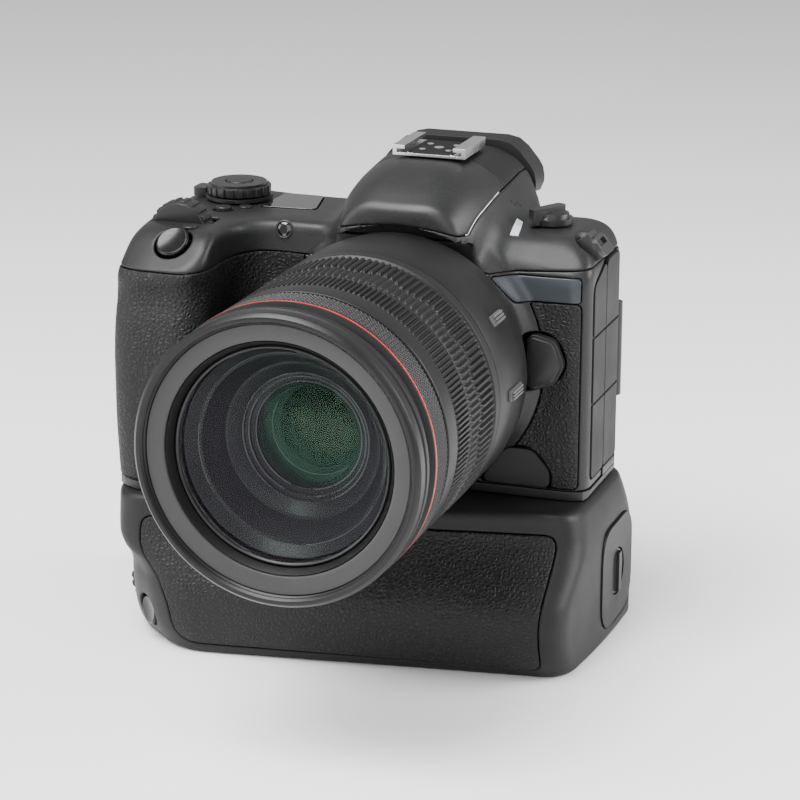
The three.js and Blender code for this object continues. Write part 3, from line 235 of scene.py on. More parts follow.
def skin_of(field, low, high, cell):
    """Surface nets over a box: returns points (n, 3) and triangles (m, 3) of the surface where the field is 0."""
    axes = [np.arange(a, b + cell, cell) for a, b in zip(low, high)]
    grid = np.stack(np.meshgrid(*axes, indexing="ij"))
    values = field(grid.reshape(3, -1)).reshape(grid.shape[1:])
    cells = tuple(n - 1 for n in values.shape)
    total, count = np.zeros((3, *cells)), np.zeros(cells)
    for axis in range(3):
        others = [a for a in range(3) if a != axis]
        for shift in ((0, 0), (0, 1), (1, 0), (1, 1)):
            near = [slice(0, n) for n in cells]
            for other, s in zip(others, shift):
                near[other] = slice(s, s + cells[other])
            away = list(near)
            away[axis] = slice(1, cells[axis] + 1)
            a, b = values[tuple(near)], values[tuple(away)]
            crossed = (a < 0) != (b < 0)
            share = np.where(crossed, a / np.where(crossed, a - b, 1), 0)
            for k in range(3):
                offset = shift[others.index(k)] if k in others else share
                total[k] += np.where(crossed, offset, 0)
            count += crossed
    active = count > 0
    number = np.full(cells, -1)
    number[active] = np.arange(active.sum())
    where = np.stack(np.nonzero(active)).astype(float)
    points = (where + total[:, active] / count[active]) * cell + np.array(low)[:, None]
    quads = []
    for axis in range(3):
        u, v = (axis + 1) % 3, (axis + 2) % 3
        inner = [slice(1, n) for n in cells]
        inner[axis] = slice(0, cells[axis])
        start, end = list(inner), list(inner)
        end[axis] = slice(1, cells[axis] + 1)
        a = values[tuple(start)] < 0
        b = values[tuple(end)] < 0
        for inward in (True, False):
            hit = np.stack(np.nonzero(a & ~b if inward else ~a & b))
            hit[u] += 1
            hit[v] += 1
            ring = []
            for du, dv in ((1, 1), (0, 1), (0, 0), (1, 0)):
                at = hit.copy()
                at[u] -= du
                at[v] -= dv
                ring.append(number[tuple(at)])
            quads.append(np.stack(ring if inward else ring[::-1], 1))
    quads = np.concatenate(quads)
    triangles = np.concatenate([quads[:, [0, 1, 2]], quads[:, [0, 2, 3]]])
    return settle(field, points.T), triangles


def cut(points, triangles, value, keep=None):
    """Splits triangles along the line where `value`, one number per point, is 0. keep=-1 or 1 drops one side."""
    value = np.where(np.abs(value) < 1e-7, 1e-7, value)
    side = value > 0
    mixed = side[triangles].any(1) & ~side[triangles].all(1)
    whole, t = triangles[~mixed], triangles[mixed]
    s = side[t]
    lone = np.where(s.sum(1) == 1, s.argmax(1), (~s).argmax(1))
    rows = np.arange(len(t))
    a, b, c = t[rows, lone], t[rows, (lone + 1) % 3], t[rows, (lone + 2) % 3]
    edges = np.sort(np.concatenate([np.stack([a, b], 1), np.stack([a, c], 1)]), 1)
    unique, back = np.unique(edges, axis=0, return_inverse=True)
    back = back.reshape(-1)
    share = value[unique[:, 0]] / (value[unique[:, 0]] - value[unique[:, 1]])
    new = points[unique[:, 0]] + (points[unique[:, 1]] - points[unique[:, 0]]) * share[:, None]
    p, q = len(points) + back[: len(t)], len(points) + back[len(t):]
    points = np.concatenate([points, new])
    tips, feet = np.stack([a, p, q], 1), np.concatenate([np.stack([p, b, c], 1), np.stack([p, c, q], 1)])
    if keep is None:
        return points, np.concatenate([whole, tips, feet])
    tip_side, foot_side = side[a], np.concatenate([side[b], side[b]])
    wanted = keep > 0
    return points, np.concatenate([whole[side[whole[:, 0]] == wanted],
                                  tips[tip_side == wanted], feet[foot_side == wanted]])


def tidy(points, triangles):
    """Drops points that no triangle uses."""
    used = np.unique(triangles)
    number = np.full(len(points), -1)
    number[used] = np.arange(len(used))
    return points[used], number[triangles]


def normals_of(points, triangles):
    """Area-weighted normals at the points."""
    a, b, c = (points[triangles[:, k]] for k in range(3))
    face = np.cross(b - a, c - a)
    out = np.zeros_like(points)
    for k in range(3):
        np.add.at(out, triangles[:, k], face)
    return out / np.maximum(np.linalg.norm(out, axis=1), 1e-9)[:, None]


def shell(points, triangles, thickness, edge=None, round_by=0.35):
    """A closed shell under an open surface: an inner copy, and a strip along the open border.
    `edge` is each point's distance to its seam; points nearer than `round_by` sink, which rounds the seam's lip."""
    n = normals_of(points, triangles)
    outer = points
    if edge is not None:
        near = np.clip(1 - np.abs(edge) / round_by, 0, 1)
        outer = points - n * (round_by * (1 - np.sqrt(1 - (near * 0.95) ** 2)))[:, None]
    inner = points - n * thickness
    sides = np.concatenate([triangles[:, [0, 1]], triangles[:, [1, 2]], triangles[:, [2, 0]]])
    keys = sides[:, 0].astype(np.int64) * len(points) + sides[:, 1]
    twins = sides[:, 1].astype(np.int64) * len(points) + sides[:, 0]
    border = sides[~np.isin(keys, twins)]
    m = len(points)
    a, b = border.T
    strip = np.concatenate([np.stack([b, a, a + m], 1), np.stack([b, a + m, b + m], 1)])
    return np.concatenate([outer, inner]), np.concatenate([triangles, triangles[:, ::-1] + m, strip])


def piece(name, points, faces, body, material, nodes=(), lift=0.0, merge=0.0, sharp=None):
    """Makes a Blender mesh from millimetre points and faces, raises it by `lift`, and lets it ride on a body."""
    p = np.asarray(points, float).copy()
    p[:, 2] += lift
    mesh = bpy.data.meshes.new(name)
    mesh.from_pydata((p * MM).tolist(), [], np.asarray(faces).tolist()
                     if isinstance(faces, np.ndarray) else faces)
    mesh.polygons.foreach_set("use_smooth", np.ones(len(mesh.polygons), bool))
    mesh.update()
    made = bpy.data.objects.new(name, mesh)
    bpy.context.scene.collection.objects.link(made)
    if merge:
        weld(mesh, merge)
    if sharp:
        mesh.set_sharp_from_angle(angle=math.radians(sharp))
    mesh.materials.append(material)
    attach(made, body)
    if nodes:
        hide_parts(*nodes)
    return made


def weld(mesh, distance):
    """Merges points that lie closer than `distance` millimetres, which removes slivers left by the cuts."""
    bm = bmesh.new()
    bm.from_mesh(mesh)
    bmesh.ops.remove_doubles(bm, verts=bm.verts, dist=distance * MM)
    bmesh.ops.dissolve_degenerate(bm, edges=bm.edges, dist=1e-7)
    bm.to_mesh(mesh)
    bm.free()


# %% [markdown]
# A finish is one Principled shader. Its fixed numbers go straight on the sockets, and what varies over the surface
# is written as a sum: a wire is an output socket, and adding or multiplying wires adds Math nodes. All patterns
# read Object coordinates, which are metres here, so a grain of 0.4 mm needs a noise scale of 1000 / 0.4.

# %% Shader sums


class Wire:
    """One output socket. Sums and products of wires and numbers add Math nodes to the same finish."""

    def __init__(self, finish, socket):
        self.finish, self.socket = finish, socket

    def _with(self, operation, other):
        """A Math node whose inputs are this wire and `other`, which is a wire or a number."""
        return self.finish.node("ShaderNodeMath", {"operation": operation}, {0: self, 1: other})

    def __add__(self, other):
        return self._with("ADD", other)

    def __mul__(self, other):
        return self._with("MULTIPLY", other)

    def ramp(self, low, high):
        """Reads low..high as 0..1, clamped, with soft ends."""
        return self.finish.node("ShaderNodeMapRange", {"interpolation_type": "SMOOTHSTEP"},
                                {"Value": self, "From Min": low, "From Max": high})


class Finish:
    """A material with one Principled shader, whose fixed socket values are given by name."""

    def __init__(self, name, **fixed):
        self.material = bpy.data.materials.new(name)
        self.material.use_nodes = True
        self.tree = self.material.node_tree
        self.shader = self.tree.nodes["Principled BSDF"]
        for key, value in fixed.items():
            self.shader.inputs[key.replace("_", " ")].default_value = value
        self.place = self.node("ShaderNodeTexCoord", output="Object")

    def node(self, kind, settings=None, inputs=None, output=0):
        """Adds a node: settings first, then values or wires into its sockets. Returns one of its outputs."""
        made = self.tree.nodes.new(kind)
        for key, value in (settings or {}).items():
            setattr(made, key, value)
        for key, value in (inputs or {}).items():
            if isinstance(value, Wire):
                self.tree.links.new(value.socket, made.inputs[key])
            else:
                made.inputs[key].default_value = value
        return Wire(self, made.outputs[output])

    def noise(self, size_mm, detail=2.0, stretch=None):
        """Cloudy noise from 0 to 1 whose lumps are about size_mm across; stretch lengthens them along an axis."""
        place = self.place
        if stretch:
            place = self.node("ShaderNodeMapping", {}, {"Vector": place, "Scale": stretch})
        return self.node("ShaderNodeTexNoise", {}, {"Vector": place,
                         "Scale": 1000 / size_mm, "Detail": detail})

    def cell_borders(self, size_mm, wobble):
        """Distance to the borders of scattered cells, in cell widths, with the place drifting by `wobble` cells."""
        per_metre = 1000 / size_mm
        drift = self.node("ShaderNodeTexNoise", {}, {"Vector": self.place, "Scale": per_metre}, "Color")
        drift = self.node(
    "ShaderNodeVectorMath", {
        "operation": "SCALE"}, {
            0: drift, "Scale": wobble * size_mm / 1000})
        place = self.node("ShaderNodeVectorMath", {"operation": "ADD"}, {0: self.place, 1: drift})
        return self.node("ShaderNodeTexVoronoi", {"feature": "DISTANCE_TO_EDGE"},
                         {"Vector": place, "Scale": per_metre}, "Distance")

    def blend(self, factor, first, second):
        """A colour from first to second as factor goes from 0 to 1."""
        return self.node("ShaderNodeMix", {"data_type": "RGBA"}, {0: factor, 6: first, 7: second}, 2)

    def feed(self, name, wire):
        """Joins a wire to one of the shader's sockets."""
        self.tree.links.new(wire.socket, self.shader.inputs[name])

    def bump(self, height, strength, distance_mm):
        """The normal tilted by the slope of `height`, where a height of 1 stands for distance_mm."""
        inputs = {"Strength": strength, "Distance": distance_mm * MM, "Height": height}
        return self.node("ShaderNodeBump", {}, inputs, "Normal")


def grey(v, warm=0.0):
    """A near-neutral colour; warm moves it from blue to brown."""
    return (v * (1 + warm), v, v * (1 - warm), 1)


# %% [markdown]
# Black camera parts are never one black. Cast covers are sprayed with a paint that holds tiny glass beads, moulded
# covers are spark-eroded, and rubber is duller, with its hollows painted darker as shade. One function makes the
# sprayed
# and moulded kinds: a fine grain in the normal, a cloudy roughness, sparse
# light specks painted as glints of the beads, and a slightly dusty tint.

# %% Sprayed and moulded finishes


def sprayed(name, shade, roughness, grain_mm=0.45, depth_mm=0.016, specks=0.0, warm=0.0, uneven=0.1, **fixed):
    """Grain of two sizes in the normal; roughness and shade drift slowly; specks brighten single grains as painted
    glints.
    """
    f = Finish(name, **fixed)
    fine, soft, wide = f.noise(grain_mm, 2), f.noise(grain_mm * 3.1, 1), f.noise(23, 3)
    handled = wide.ramp(0.35, 0.7)
    shaded = f.blend(handled, grey(shade, warm), grey(shade * 1.22, warm))
    # Painted glints: single grains are lightened in the base colour to stand in for highlights on the beads.
    painted_glint = f.noise(grain_mm * 0.8, 0).ramp(0.66, 0.78) * specks
    f.feed("Base Color", f.blend(painted_glint, shaded, grey(shade * 4 + 0.03, warm)))
    f.feed("Roughness", fine * 0.08 + handled * uneven + (roughness - 0.04 - uneven / 2))
    f.feed("Normal", f.bump(fine * 0.7 + soft * 0.3, 1.0, depth_mm))
    return f.material


satin_paint = sprayed("satin_paint", 0.009, 0.44, 0.4, 0.022, specks=0.3, warm=-0.02, Specular_IOR_Level=0.33)
matte_housing = sprayed("matte_housing", 0.0055, 0.52, 0.5, 0.024, specks=0.15, Specular_IOR_Level=0.28)
lens_paint = sprayed("lens_paint", 0.0055, 0.42, 0.34, 0.016, specks=0.1, Specular_IOR_Level=0.28)
ribbed_rubber = sprayed(
    "ribbed_rubber",
    0.006,
    0.5,
    0.3,
    0.012,
    specks=0.0,
    uneven=0.14,
     Specular_IOR_Level=0.3)
knurled_ring = sprayed("knurled_ring", 0.010, 0.4, 0.3, 0.008, specks=0.1, Specular_IOR_Level=0.36)
name_ring_paint = sprayed("name_ring_paint", 0.032, 0.5, 0.3, 0.008, specks=0.1, Specular_IOR_Level=0.3)
black_metal = sprayed(
    "black_metal",
    0.012,
    0.36,
    0.3,
    0.008,
    specks=0.1,
    Metallic=0.2,
     Specular_IOR_Level=0.36)
control_plastic = sprayed("control_plastic", 0.009, 0.42, 0.35, 0.012, specks=0.08, Specular_IOR_Level=0.34)
cover_rubber = sprayed("cover_rubber", 0.008, 0.6, 0.5, 0.02, uneven=0.12, Specular_IOR_Level=0.3)
switch_grey = sprayed("switch_grey", 0.075, 0.5, 0.3, 0.01)
gloss_button = sprayed("gloss_button", 0.004, 0.2, 1.2, 0.004, uneven=0.06, Specular_IOR_Level=0.3)
display_glass = sprayed(
    "display_glass",
    0.006,
    0.07,
    6.0,
    0.001,
    uneven=0.03,
    Coat_Weight=0.5,
     Coat_Roughness=0.03)
badge_paint = sprayed(
    "badge_paint",
    0.036,
    0.34,
    0.5,
    0.008,
    warm=-0.14,
    Metallic=0.15,
     Specular_IOR_Level=0.3)
tally_plastic = sprayed("tally_plastic", 0.42, 0.38, 0.4, 0.006, warm=-0.04)
inner_black = sprayed("inner_black", 0.003, 0.6, 0.5, 0.01, Specular_IOR_Level=0.2)
funnel_paint = sprayed("funnel_paint", 0.020, 0.45, 0.5, 0.004, warm=-0.05, Specular_IOR_Level=0.25)
edge_metal = sprayed("edge_metal", 0.10, 0.3, 0.4, 0.004, Metallic=0.6)

red = Finish("ring_red", Metallic=0.3, Coat_Weight=0.3)
worn = red.noise(2.0, 3).ramp(0.3, 0.75)
red.feed("Base Color", red.blend(worn, (0.52, 0.012, 0.016, 1), (0.66, 0.03, 0.03, 1)))
red.feed("Roughness", worn * 0.12 + 0.27)
red_paint = red.material
print("sprayed and moulded finishes:", len(bpy.data.materials))

# %% [markdown]
# The covering is a thin rubber sheet with a pebbled grain: round pebbles about a millimetre across, divided by
# narrow valleys. A Voronoi pattern gives both: the distance to the cell border is 0 in the valleys, and a soft
# ramp of it makes the pebble. The coordinates wobble a little first, so that no border is quite straight.

# %% Pebbled rubber and alloy


def pebbled(name, shade, size_mm, depth_mm, roughness):
    """Pebble height is a soft ramp of the distance to the cell borders; valleys are painted darker as shade, and are
    rougher.
    """
    f = Finish(name, Specular_IOR_Level=0.3)
    border = f.cell_borders(size_mm, wobble=0.35)
    pebble = border.ramp(0.02, 0.34)
    lump = f.noise(size_mm * 2.2, 2)
    fine = f.noise(0.22, 1)
    wide = f.noise(26, 2).ramp(0.3, 0.7)
    # Painted shade: the valleys between the pebbles get a darker colour than the pebble tops.
    tint = f.blend(pebble, grey(shade * 0.55), grey(shade * 1.15))
    f.feed("Base Color", f.blend(wide * 0.5, tint, grey(shade * 1.3)))
    f.feed("Roughness", pebble * -0.12 + wide * 0.06 + fine * 0.08 + (roughness + 0.03))
    f.feed("Normal", f.bump(pebble * 0.8 + lump * 0.35 + fine * 0.06, 1.0, depth_mm))
    return f.material


def brushed(name, shade, roughness):
    """Bare metal: long fine scratches along X in roughness and normal, and a faint stain."""
    f = Finish(name, Metallic=1.0)
    scratch = f.noise(0.5, 3, stretch=(0.06, 1, 1))
    stain = f.noise(9, 3).ramp(0.3, 0.75)
    f.feed("Base Color", f.blend(stain, grey(shade), grey(shade * 0.86, 0.01)))
    f.feed("Roughness", scratch * 0.16 + (roughness - 0.08) + stain * 0.05)
    f.feed("Normal", f.bump(scratch, 0.6, 0.006))
    return f.material


rubber_grip = pebbled("rubber_grip", 0.006, 1.3, 0.24, 0.5)
alloy = brushed("alloy", 0.62, 0.32)
dark_alloy = brushed("dark_alloy", 0.10, 0.4)
shoe_metal = brushed("shoe_metal", 0.6, 0.26)
print("pebbled and brushed finishes ready")

# %% [markdown]
# Camera glass looks almost black with coloured reflections, because each face carries thin coatings that cancel
# most of the reflected light except for a little violet or green. The Principled shader has such a film: its
# thickness in nanometres picks the colour. Behind it the glass is clear, so the dark barrel shows through.

# %% Glass finishes


def coated_glass(name, ior, glow, tint, clear=1.0):
    """Clear glass whose weak reflection is coloured; a faint wipe varies its roughness."""
    f = Finish(name, IOR=ior, Transmission_Weight=clear, Specular_Tint=glow)
    wipe = f.noise(14, 2).ramp(0.4, 0.7)
    f.feed("Roughness", wipe * 0.012 + 0.012)
    f.feed("Base Color", f.blend(wipe, tint, tuple(0.97 * c for c in tint[:3]) + (1,)))
    return f.material


lens_glass = coated_glass("lens_glass", 1.14, (0.85, 0.6, 0.9, 1), (0.72, 0.78, 0.76, 1))
inner_glass = coated_glass("inner_glass", 1.3, (0.35, 0.9, 0.6, 1), (0.55, 0.72, 0.66, 1))
deep_glass = coated_glass("deep_glass", 1.5, (1.0, 0.55, 0.3, 1), (0.12, 0.16, 0.14, 1))
eyepiece_glass = coated_glass("eyepiece_glass", 1.4, (0.6, 0.7, 1.0, 1), (0.2, 0.22, 0.24, 1), clear=0.35)

# %% [markdown]
# Most CAD pieces have the right shape but hard edges, and real edges catch light because they are rounded. Each
# piece that has no finer version below is copied, its loose triangles are merged, and its edges get a small
# bevel with smooth shading. The copy stands for the CAD node, whose own mesh stays as it is.

# %% Refined copies of the CAD pieces
EDGE_MM, EDGE_ANGLE, SHARP_ANGLE = 0.2, 28, 36  # bevel width, least angle bevelled, least angle left sharp
BODY_OF = {node: body for body, nodes in frame["record"]["behaviour"]["bodies"].items() for node in nodes}


def refined(node, material):
    """A merged, bevelled, smoothly shaded copy of a CAD node."""
    source = frame["nodes"][node]
    bm = bmesh.new()
    bm.from_mesh(source.data)
    bmesh.ops.remove_doubles(bm, verts=bm.verts, dist=1e-6)
    bmesh.ops.dissolve_limit(bm, angle_limit=math.radians(1.0), verts=bm.verts, edges=bm.edges)
    mesh = bpy.data.meshes.new(node + "_fine")
    bm.to_mesh(mesh)
    bm.free()
    mesh.materials.clear()
    mesh.materials.append(material)
    made = bpy.data.objects.new(node + "_fine", mesh)
    bpy.context.scene.collection.objects.link(made)
    mesh.polygons.foreach_set("use_smooth", np.ones(len(mesh.polygons), bool))
    bevel = made.modifiers.new("rounded edges", "BEVEL")
    bevel.width = EDGE_MM * MM
    bevel.segments = 2
    bevel.limit_method = "ANGLE"
    bevel.angle_limit = math.radians(EDGE_ANGLE)
    bevel.use_clamp_overlap = True
    bevel.harden_normals = True
    mesh.set_sharp_from_angle(angle=math.radians(SHARP_ANGLE))
    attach(made, BODY_OF[node])
    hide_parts(node)
    return made


# %% [markdown]
# The lens is made of turned parts. Each is a closed profile of (radius, y) carried round the optical axis, as on
# a lathe. Corners of the profile are first replaced by short curves, because a turned edge is never razor sharp.
# A relief function may push the outside in or out by angle and y: that makes ribs and knurls real geometry.

# %% Turning helpers


def softened(profile, radius=0.25):
    """Replaces each corner p by three points of a quadratic curve that starts and ends `radius` away from it."""
    p = np.array(profile, float)
    before, after = np.roll(p, 1, 0) - p, np.roll(p, -1, 0) - p
    out = []
    for to_last, corner, to_next in zip(before, p, after):
        a, b = np.linalg.norm(to_last), np.linalg.norm(to_next)
        if corner[0] < 1e-6 or min(a, b) < 1e-6:
            out.append(corner)
            continue
        start = corner + to_last / a * min(radius, a * 0.4)
        end = corner + to_next / b * min(radius, b * 0.4)
        out += [start, (start + 2 * corner + end) / 4, end]
    return np.array(out)


def outward(points, faces):
    """Turns every face round if the signed volume of the closed mesh is negative."""
    a, b, c = (points[faces[:, k]] for k in range(3))
    volume = np.einsum("ij,ij->i", a, np.cross(b, c)).sum()
    if faces.shape[1] == 4:
        d = points[faces[:, 3]]
        volume += np.einsum("ij,ij->i", a, np.cross(c, d)).sum()
    return faces if volume > 0 else faces[:, ::-1]


def spun(profile, segments=192, relief=None, frame_of=None):
    """Point = centre + r (cos a, 0, sin a) + y (0, 1, 0). A profile that starts and ends on the axis gets round caps."""
    p = np.array(profile, float)
    capped = p[0, 0] < 1e-6 and p[-1, 0] < 1e-6
    ends = (p[0, 1], p[-1, 1])
    if capped:
        p = p[1:-1]
    k, n = len(p), segments
    a = np.arange(n) * 2 * np.pi / n
    r = np.repeat(p[:, :1], n, 1)
    y = np.repeat(p[:, 1:2], n, 1)
    if relief:
        r = r + relief(a[None, :], y, r)
    points = np.stack([r * np.cos(a), y, r * np.sin(a)], -1).reshape(-1, 3)
    i, j = np.meshgrid(np.arange(k - 1 if capped else k), np.arange(n), indexing="ij")
    i, j, nj = i.ravel(), j.ravel(), (j.ravel() + 1) % n
    faces = np.stack([i * n + j, i * n + nj, ((i + 1) % k) * n + nj, ((i + 1) % k) * n + j], 1)
    faces = outward(points, faces)
    listed = faces.tolist()
    if capped:
        points = np.concatenate([points, [[0, ends[0], 0], [0, ends[1], 0]]])
        first = faces[0].tolist()
        forward = (first.index(1) - first.index(0)) % 4 == 1
        for row, tip, same in ((0, k * n, not forward), (k - 1, k * n + 1, forward)):
            for q in range(n):
                s, e = row * n + q, row * n + (q + 1) % n
                listed.append([tip, s, e] if same else [tip, e, s])
    if frame_of is not None:
        points = points @ frame_of[0].T + frame_of[1]
    return points, listed


def about(direction, centre):
    """A turning frame whose +Y points along `direction` and whose origin is `centre`."""
    n = np.array(direction, float)
    n /= np.linalg.norm(n)
    side = np.cross(n, (0, 0, 1) if abs(n[2]) < 0.9 else (1, 0, 0))
    side /= np.linalg.norm(side)
    return np.stack([side, n, np.cross(side, n)], 1), np.array(centre, float)


LENS = (np.eye(3), np.array([0, 0, AXIS]))


def turned(name, profile, body, material, nodes=(),
           segments=192, relief=None, soft=0.25, where=LENS, sharp=34):
    """A piece spun from a profile, whose corners are first rounded over `soft` millimetres."""
    points, faces = spun(softened(profile, soft) if soft else profile, segments, relief, where)
    return piece(name, points, faces, body, material, nodes, sharp=sharp)


def band(y0, y1, bore, outer, rows, edge=0.35):
    """Profile of a ring whose outside has `rows` extra stations between its rounded ends."""
    inside = [(bore, y1), (bore, y0), (outer - edge, y0)]
    return inside + [(outer, y) for y in np.linspace(y0 + edge, y1 - edge, rows)] + [(outer - edge, y1)]


def bump_row(phase, sharpness=3.0):
    """A rib across each turn of `phase`: a cosine pushed towards a flat top and a flat valley, 0 to 1."""
    return 0.5 + 0.5 * np.tanh(sharpness * np.cos(phase)) / math.tanh(sharpness)


def window(y, low, high, soft=0.35):
    """1 between low and high, 0 outside, with soft ends."""
    return 1 / (1 + np.exp(-(y - low) / soft * 4)) / (1 + np.exp((y - high) / soft * 4))


print("turning helpers ready, lens axis at", round(AXIS, 2), "mm")

# %% [markdown]
# Zoom, focus and control rings differ in their grip. The zoom ring has long rubber ribs whose ends follow a wave,
# the focus ring has finer straight ribs, and the control ring has a
# diamond knurl: two sets of grooves that cross.

# %% Lens rings
ZOOM_Y = (corner_mm("zoom_ring", 0)[1], corner_mm("zoom_ring", 1)[1])
FOCUS_Y = (corner_mm("focus_ring", 0)[1], corner_mm("focus_ring", 1)[1])
CONTROL_Y = (corner_mm("control_ring", 0)[1], corner_mm("control_ring", 1)[1])
ZOOM_RIBS, FOCUS_RIBS, KNURLS = 128, 168, 190
BORE = 39.75


def zoom_relief(a, y, r):
    """Two rows of ribs, divided by a groove that follows a sine round the ring, and a plain back band."""
    wave = ZOOM_Y[0] + 8.4 + 1.5 * np.sin(a * 16)
    rows = window(y, wave + 0.7, ZOOM_Y[1] - 5.2) + 0.8 * window(y, ZOOM_Y[0] + 0.8, wave - 0.7)
    return np.where(r > BORE + 1, -1.0 + 0.95 * rows * bump_row(a * ZOOM_RIBS) + \
                    0.95 * window(y, ZOOM_Y[1] - 4.4, 99), 0)


def focus_relief(a, y, r):
    """One row of straight ribs between plain ends."""
    rows = window(y, FOCUS_Y[0] + 0.9, FOCUS_Y[1] - 0.9)
    return np.where(r > BORE + 1, -0.8 + 0.75 * rows * bump_row(a * FOCUS_RIBS), 0)


def control_relief(a, y, r):
    """Diamonds: the product of two sines whose crests run along the two diagonals."""
    pitch = 2 * math.pi * LENS_R / KNURLS
    across, up = a * KNURLS / 2, y * math.pi / pitch
    diamond = np.abs(np.sin(across + up)) * np.abs(np.sin(across - up))
    inside = window(y, CONTROL_Y[0] + 0.7, CONTROL_Y[1] - 0.8)
    return np.where(r > BORE + 1, -0.55 + 0.55 * inside * diamond, 0)


turned("zoom_ring_ribbed", band(*ZOOM_Y, BORE, LENS_R - 0.15, 34), "zoom", ribbed_rubber,
       ["zoom_ring"], ZOOM_RIBS * 8, zoom_relief, soft=0.1, sharp=55)
turned("focus_ring_ribbed", band(*FOCUS_Y, BORE, LENS_R - 0.25, 16), "focus", ribbed_rubber,
       ["focus_ring"], FOCUS_RIBS * 6, focus_relief, soft=0.1, sharp=55)
turned("control_ring_knurled", band(*CONTROL_Y, BORE, LENS_R - 0.1, 34), "control", knurled_ring,
       ["control_ring"], KNURLS * 5, control_relief, soft=0.1, sharp=70)
BAND_Y = (corner_mm("lens_band", 0)[1], corner_mm("lens_band", 1)[1])
turned(
    "lens_band_smooth",
    band(
        *BAND_Y,
        BORE,
        LENS_R - 0.25,
        3,
        0.3),
        "root",
        lens_paint,
        ["lens_band"],
         192)
print("rings:", ZOOM_RIBS, "zoom ribs,", FOCUS_RIBS, "focus ribs,", KNURLS, "knurls round the control ring")

# %% [markdown]
# The front group is the deepest part of the look: a hood bayonet, a threaded filter seat, a grey cone, a black
# step, the front element, and behind it funnels and bright ring edges that lead to the inner glass.

# %% Front group
BEZEL_BACK = RIM + 14.6
FILTER_R = 38.5
INNER_R = 37.0
rim_profile = [
    (INNER_R + 0.3, BEZEL_BACK), (LENS_R - 0.2, BEZEL_BACK), (LENS_R, BEZEL_BACK - 0.4), (LENS_R, BEZEL_BACK - 0.8),
    (LENS_R - 0.55, BEZEL_BACK - 0.95), (LENS_R - 0.55, BEZEL_BACK - 1.65), (LENS_R, BEZEL_BACK - 1.8),
    (LENS_R, BEZEL_BACK - 2.5), (LENS_R - 1.5, BEZEL_BACK - 2.8), (LENS_R - 1.5, BEZEL_BACK - 5.8),
    (LENS_R - 0.35, BEZEL_BACK - 6.4), (LENS_R - 0.3, BEZEL_BACK - 8.4), (LENS_R - 0.95, BEZEL_BACK - 8.7),
    (LENS_R - 0.95, BEZEL_BACK - 9.6), (LENS_R - 0.3, BEZEL_BACK - 9.9), (LENS_R - 0.3, RIM + 1.3),
    (LENS_R - 1.3, RIM), (FILTER_R + 0.9, RIM), (FILTER_R + 0.2, RIM + 0.8)]
for turn in range(5):
    y = RIM + 1.1 + turn * 0.75
    rim_profile += [(FILTER_R + 0.15, y), (FILTER_R - 0.3, y + 0.38)]
rim_profile += [(FILTER_R, RIM + 5), (INNER_R + 0.3, RIM + 5.4)]
turned(
    "front_bezel_turned",
    rim_profile,
    "front_group",
    lens_paint,
    ["front_bezel"],
    256,
     soft=0.12)
turned("red_ring_turned", [(LENS_R - 0.5, BEZEL_BACK - 1.62), (LENS_R + 0.02, BEZEL_BACK - 1.62),
                           (LENS_R + 0.02, BEZEL_BACK - 0.98), (LENS_R - 0.5, BEZEL_BACK - 0.98)],
       "front_group", red_paint, ["red_ring"], 256, soft=0.1)
turned("name_ring_turned",
       [(FILTER_R - 0.45, RIM + 1.9), (FILTER_R - 0.45, RIM + 3.4), (34, RIM + 5), (33, RIM + 5), (33.3, RIM + 3.0),
        (34, RIM + 2.7)],
       "front_group", name_ring_paint, ["name_ring"], 256, soft=0.15)
steps = [(35, RIM + 6), (32.9, RIM + 3.3), (31.6, RIM + 5.8),
          (31.6, RIM + 7.6), (30.3, RIM + 7.9), (30.1, RIM + 9.6)]
turned("black_step", steps + [(35, RIM + 9.6)], "front_group", inner_black, [], 192, soft=0.15)
turned("retaining_ring", [(30.3, RIM + 6.1), (30.9, RIM + 5.6), (31.4, RIM + 6.2), (31.4, RIM + 7), (30.3, RIM + 7)],
       "front_group", black_metal, [], 192, soft=0.15)
funnels = [(30.0, RIM + 9.8), (27.2, RIM + 13.5), (26.4, RIM + 13.6), (22.6, RIM + 21.5), (21.8, RIM + 21.6),
           (18.6, RIM + 24.2), (18.2, RIM + 25.2), (17.2, RIM + 25.3), (16.9, RIM + 26.4), (15.6, RIM + 26.6),
           (15.2, RIM + 28), (13.6, RIM + 28.2), (12.8, RIM + 34), (11.4, RIM + 34.2), (10.8, RIM + 42)]
turned("funnel", funnels + [(24, RIM + 42), (31, RIM + 14)],
       "front_group", funnel_paint, [], 192, soft=0.12)
for k, (r, depth) in enumerate([(27.4, 13.3), (18.5, 24.0), (17.2, 25.1), (15.5, 26.3), (12.9, 33.6)]):
    turned(f"funnel_edge_{k}", [(r - 0.2, RIM + depth), (r + 0.12, RIM + depth), (r + 0.12, RIM + depth + 0.4),
                                (r - 0.2, RIM + depth + 0.4)],
           "front_group", edge_metal, [], 160, soft=0.12)
print("front group from", RIM, "to", round(BEZEL_BACK, 2), "mm")


def dome(radius, y0, y1, front, back, steps=10):
    """Profile of a lens element: sag falls with the square of the radius on both faces."""
    r = np.linspace(0, radius, steps)
    face = [(q, y0 - front * (1 - (q / radius) ** 2)) for q in r]
    return face + [(q, y1 + back * (1 - (q / radius) ** 2)) for q in r[::-1]]


turned("front_element_glass", dome(30.2, RIM + 6.2, RIM + 8.0, 2.6, -1.6), "front_group", lens_glass,
       ["front_element"], 128, soft=0)
turned("second_element_glass", dome(17.6, RIM + 27, RIM + 28, 2.2, 0.4), "front_group", inner_glass,
       ["inner_element"], 96, soft=0)
turned(
    "deep_element_glass",
    dome(
        11.6,
        RIM + 36,
        RIM + 37,
        2.4,
        0.4),
        "front_group",
        deep_glass,
        [],
        96,
         soft=0)
print("glass elements: 3")

# %% [markdown]
# Behind the rings the fixed barrel narrows to the mount in a smooth shoulder. It is hollow, so the front group
# can slide back inside it.

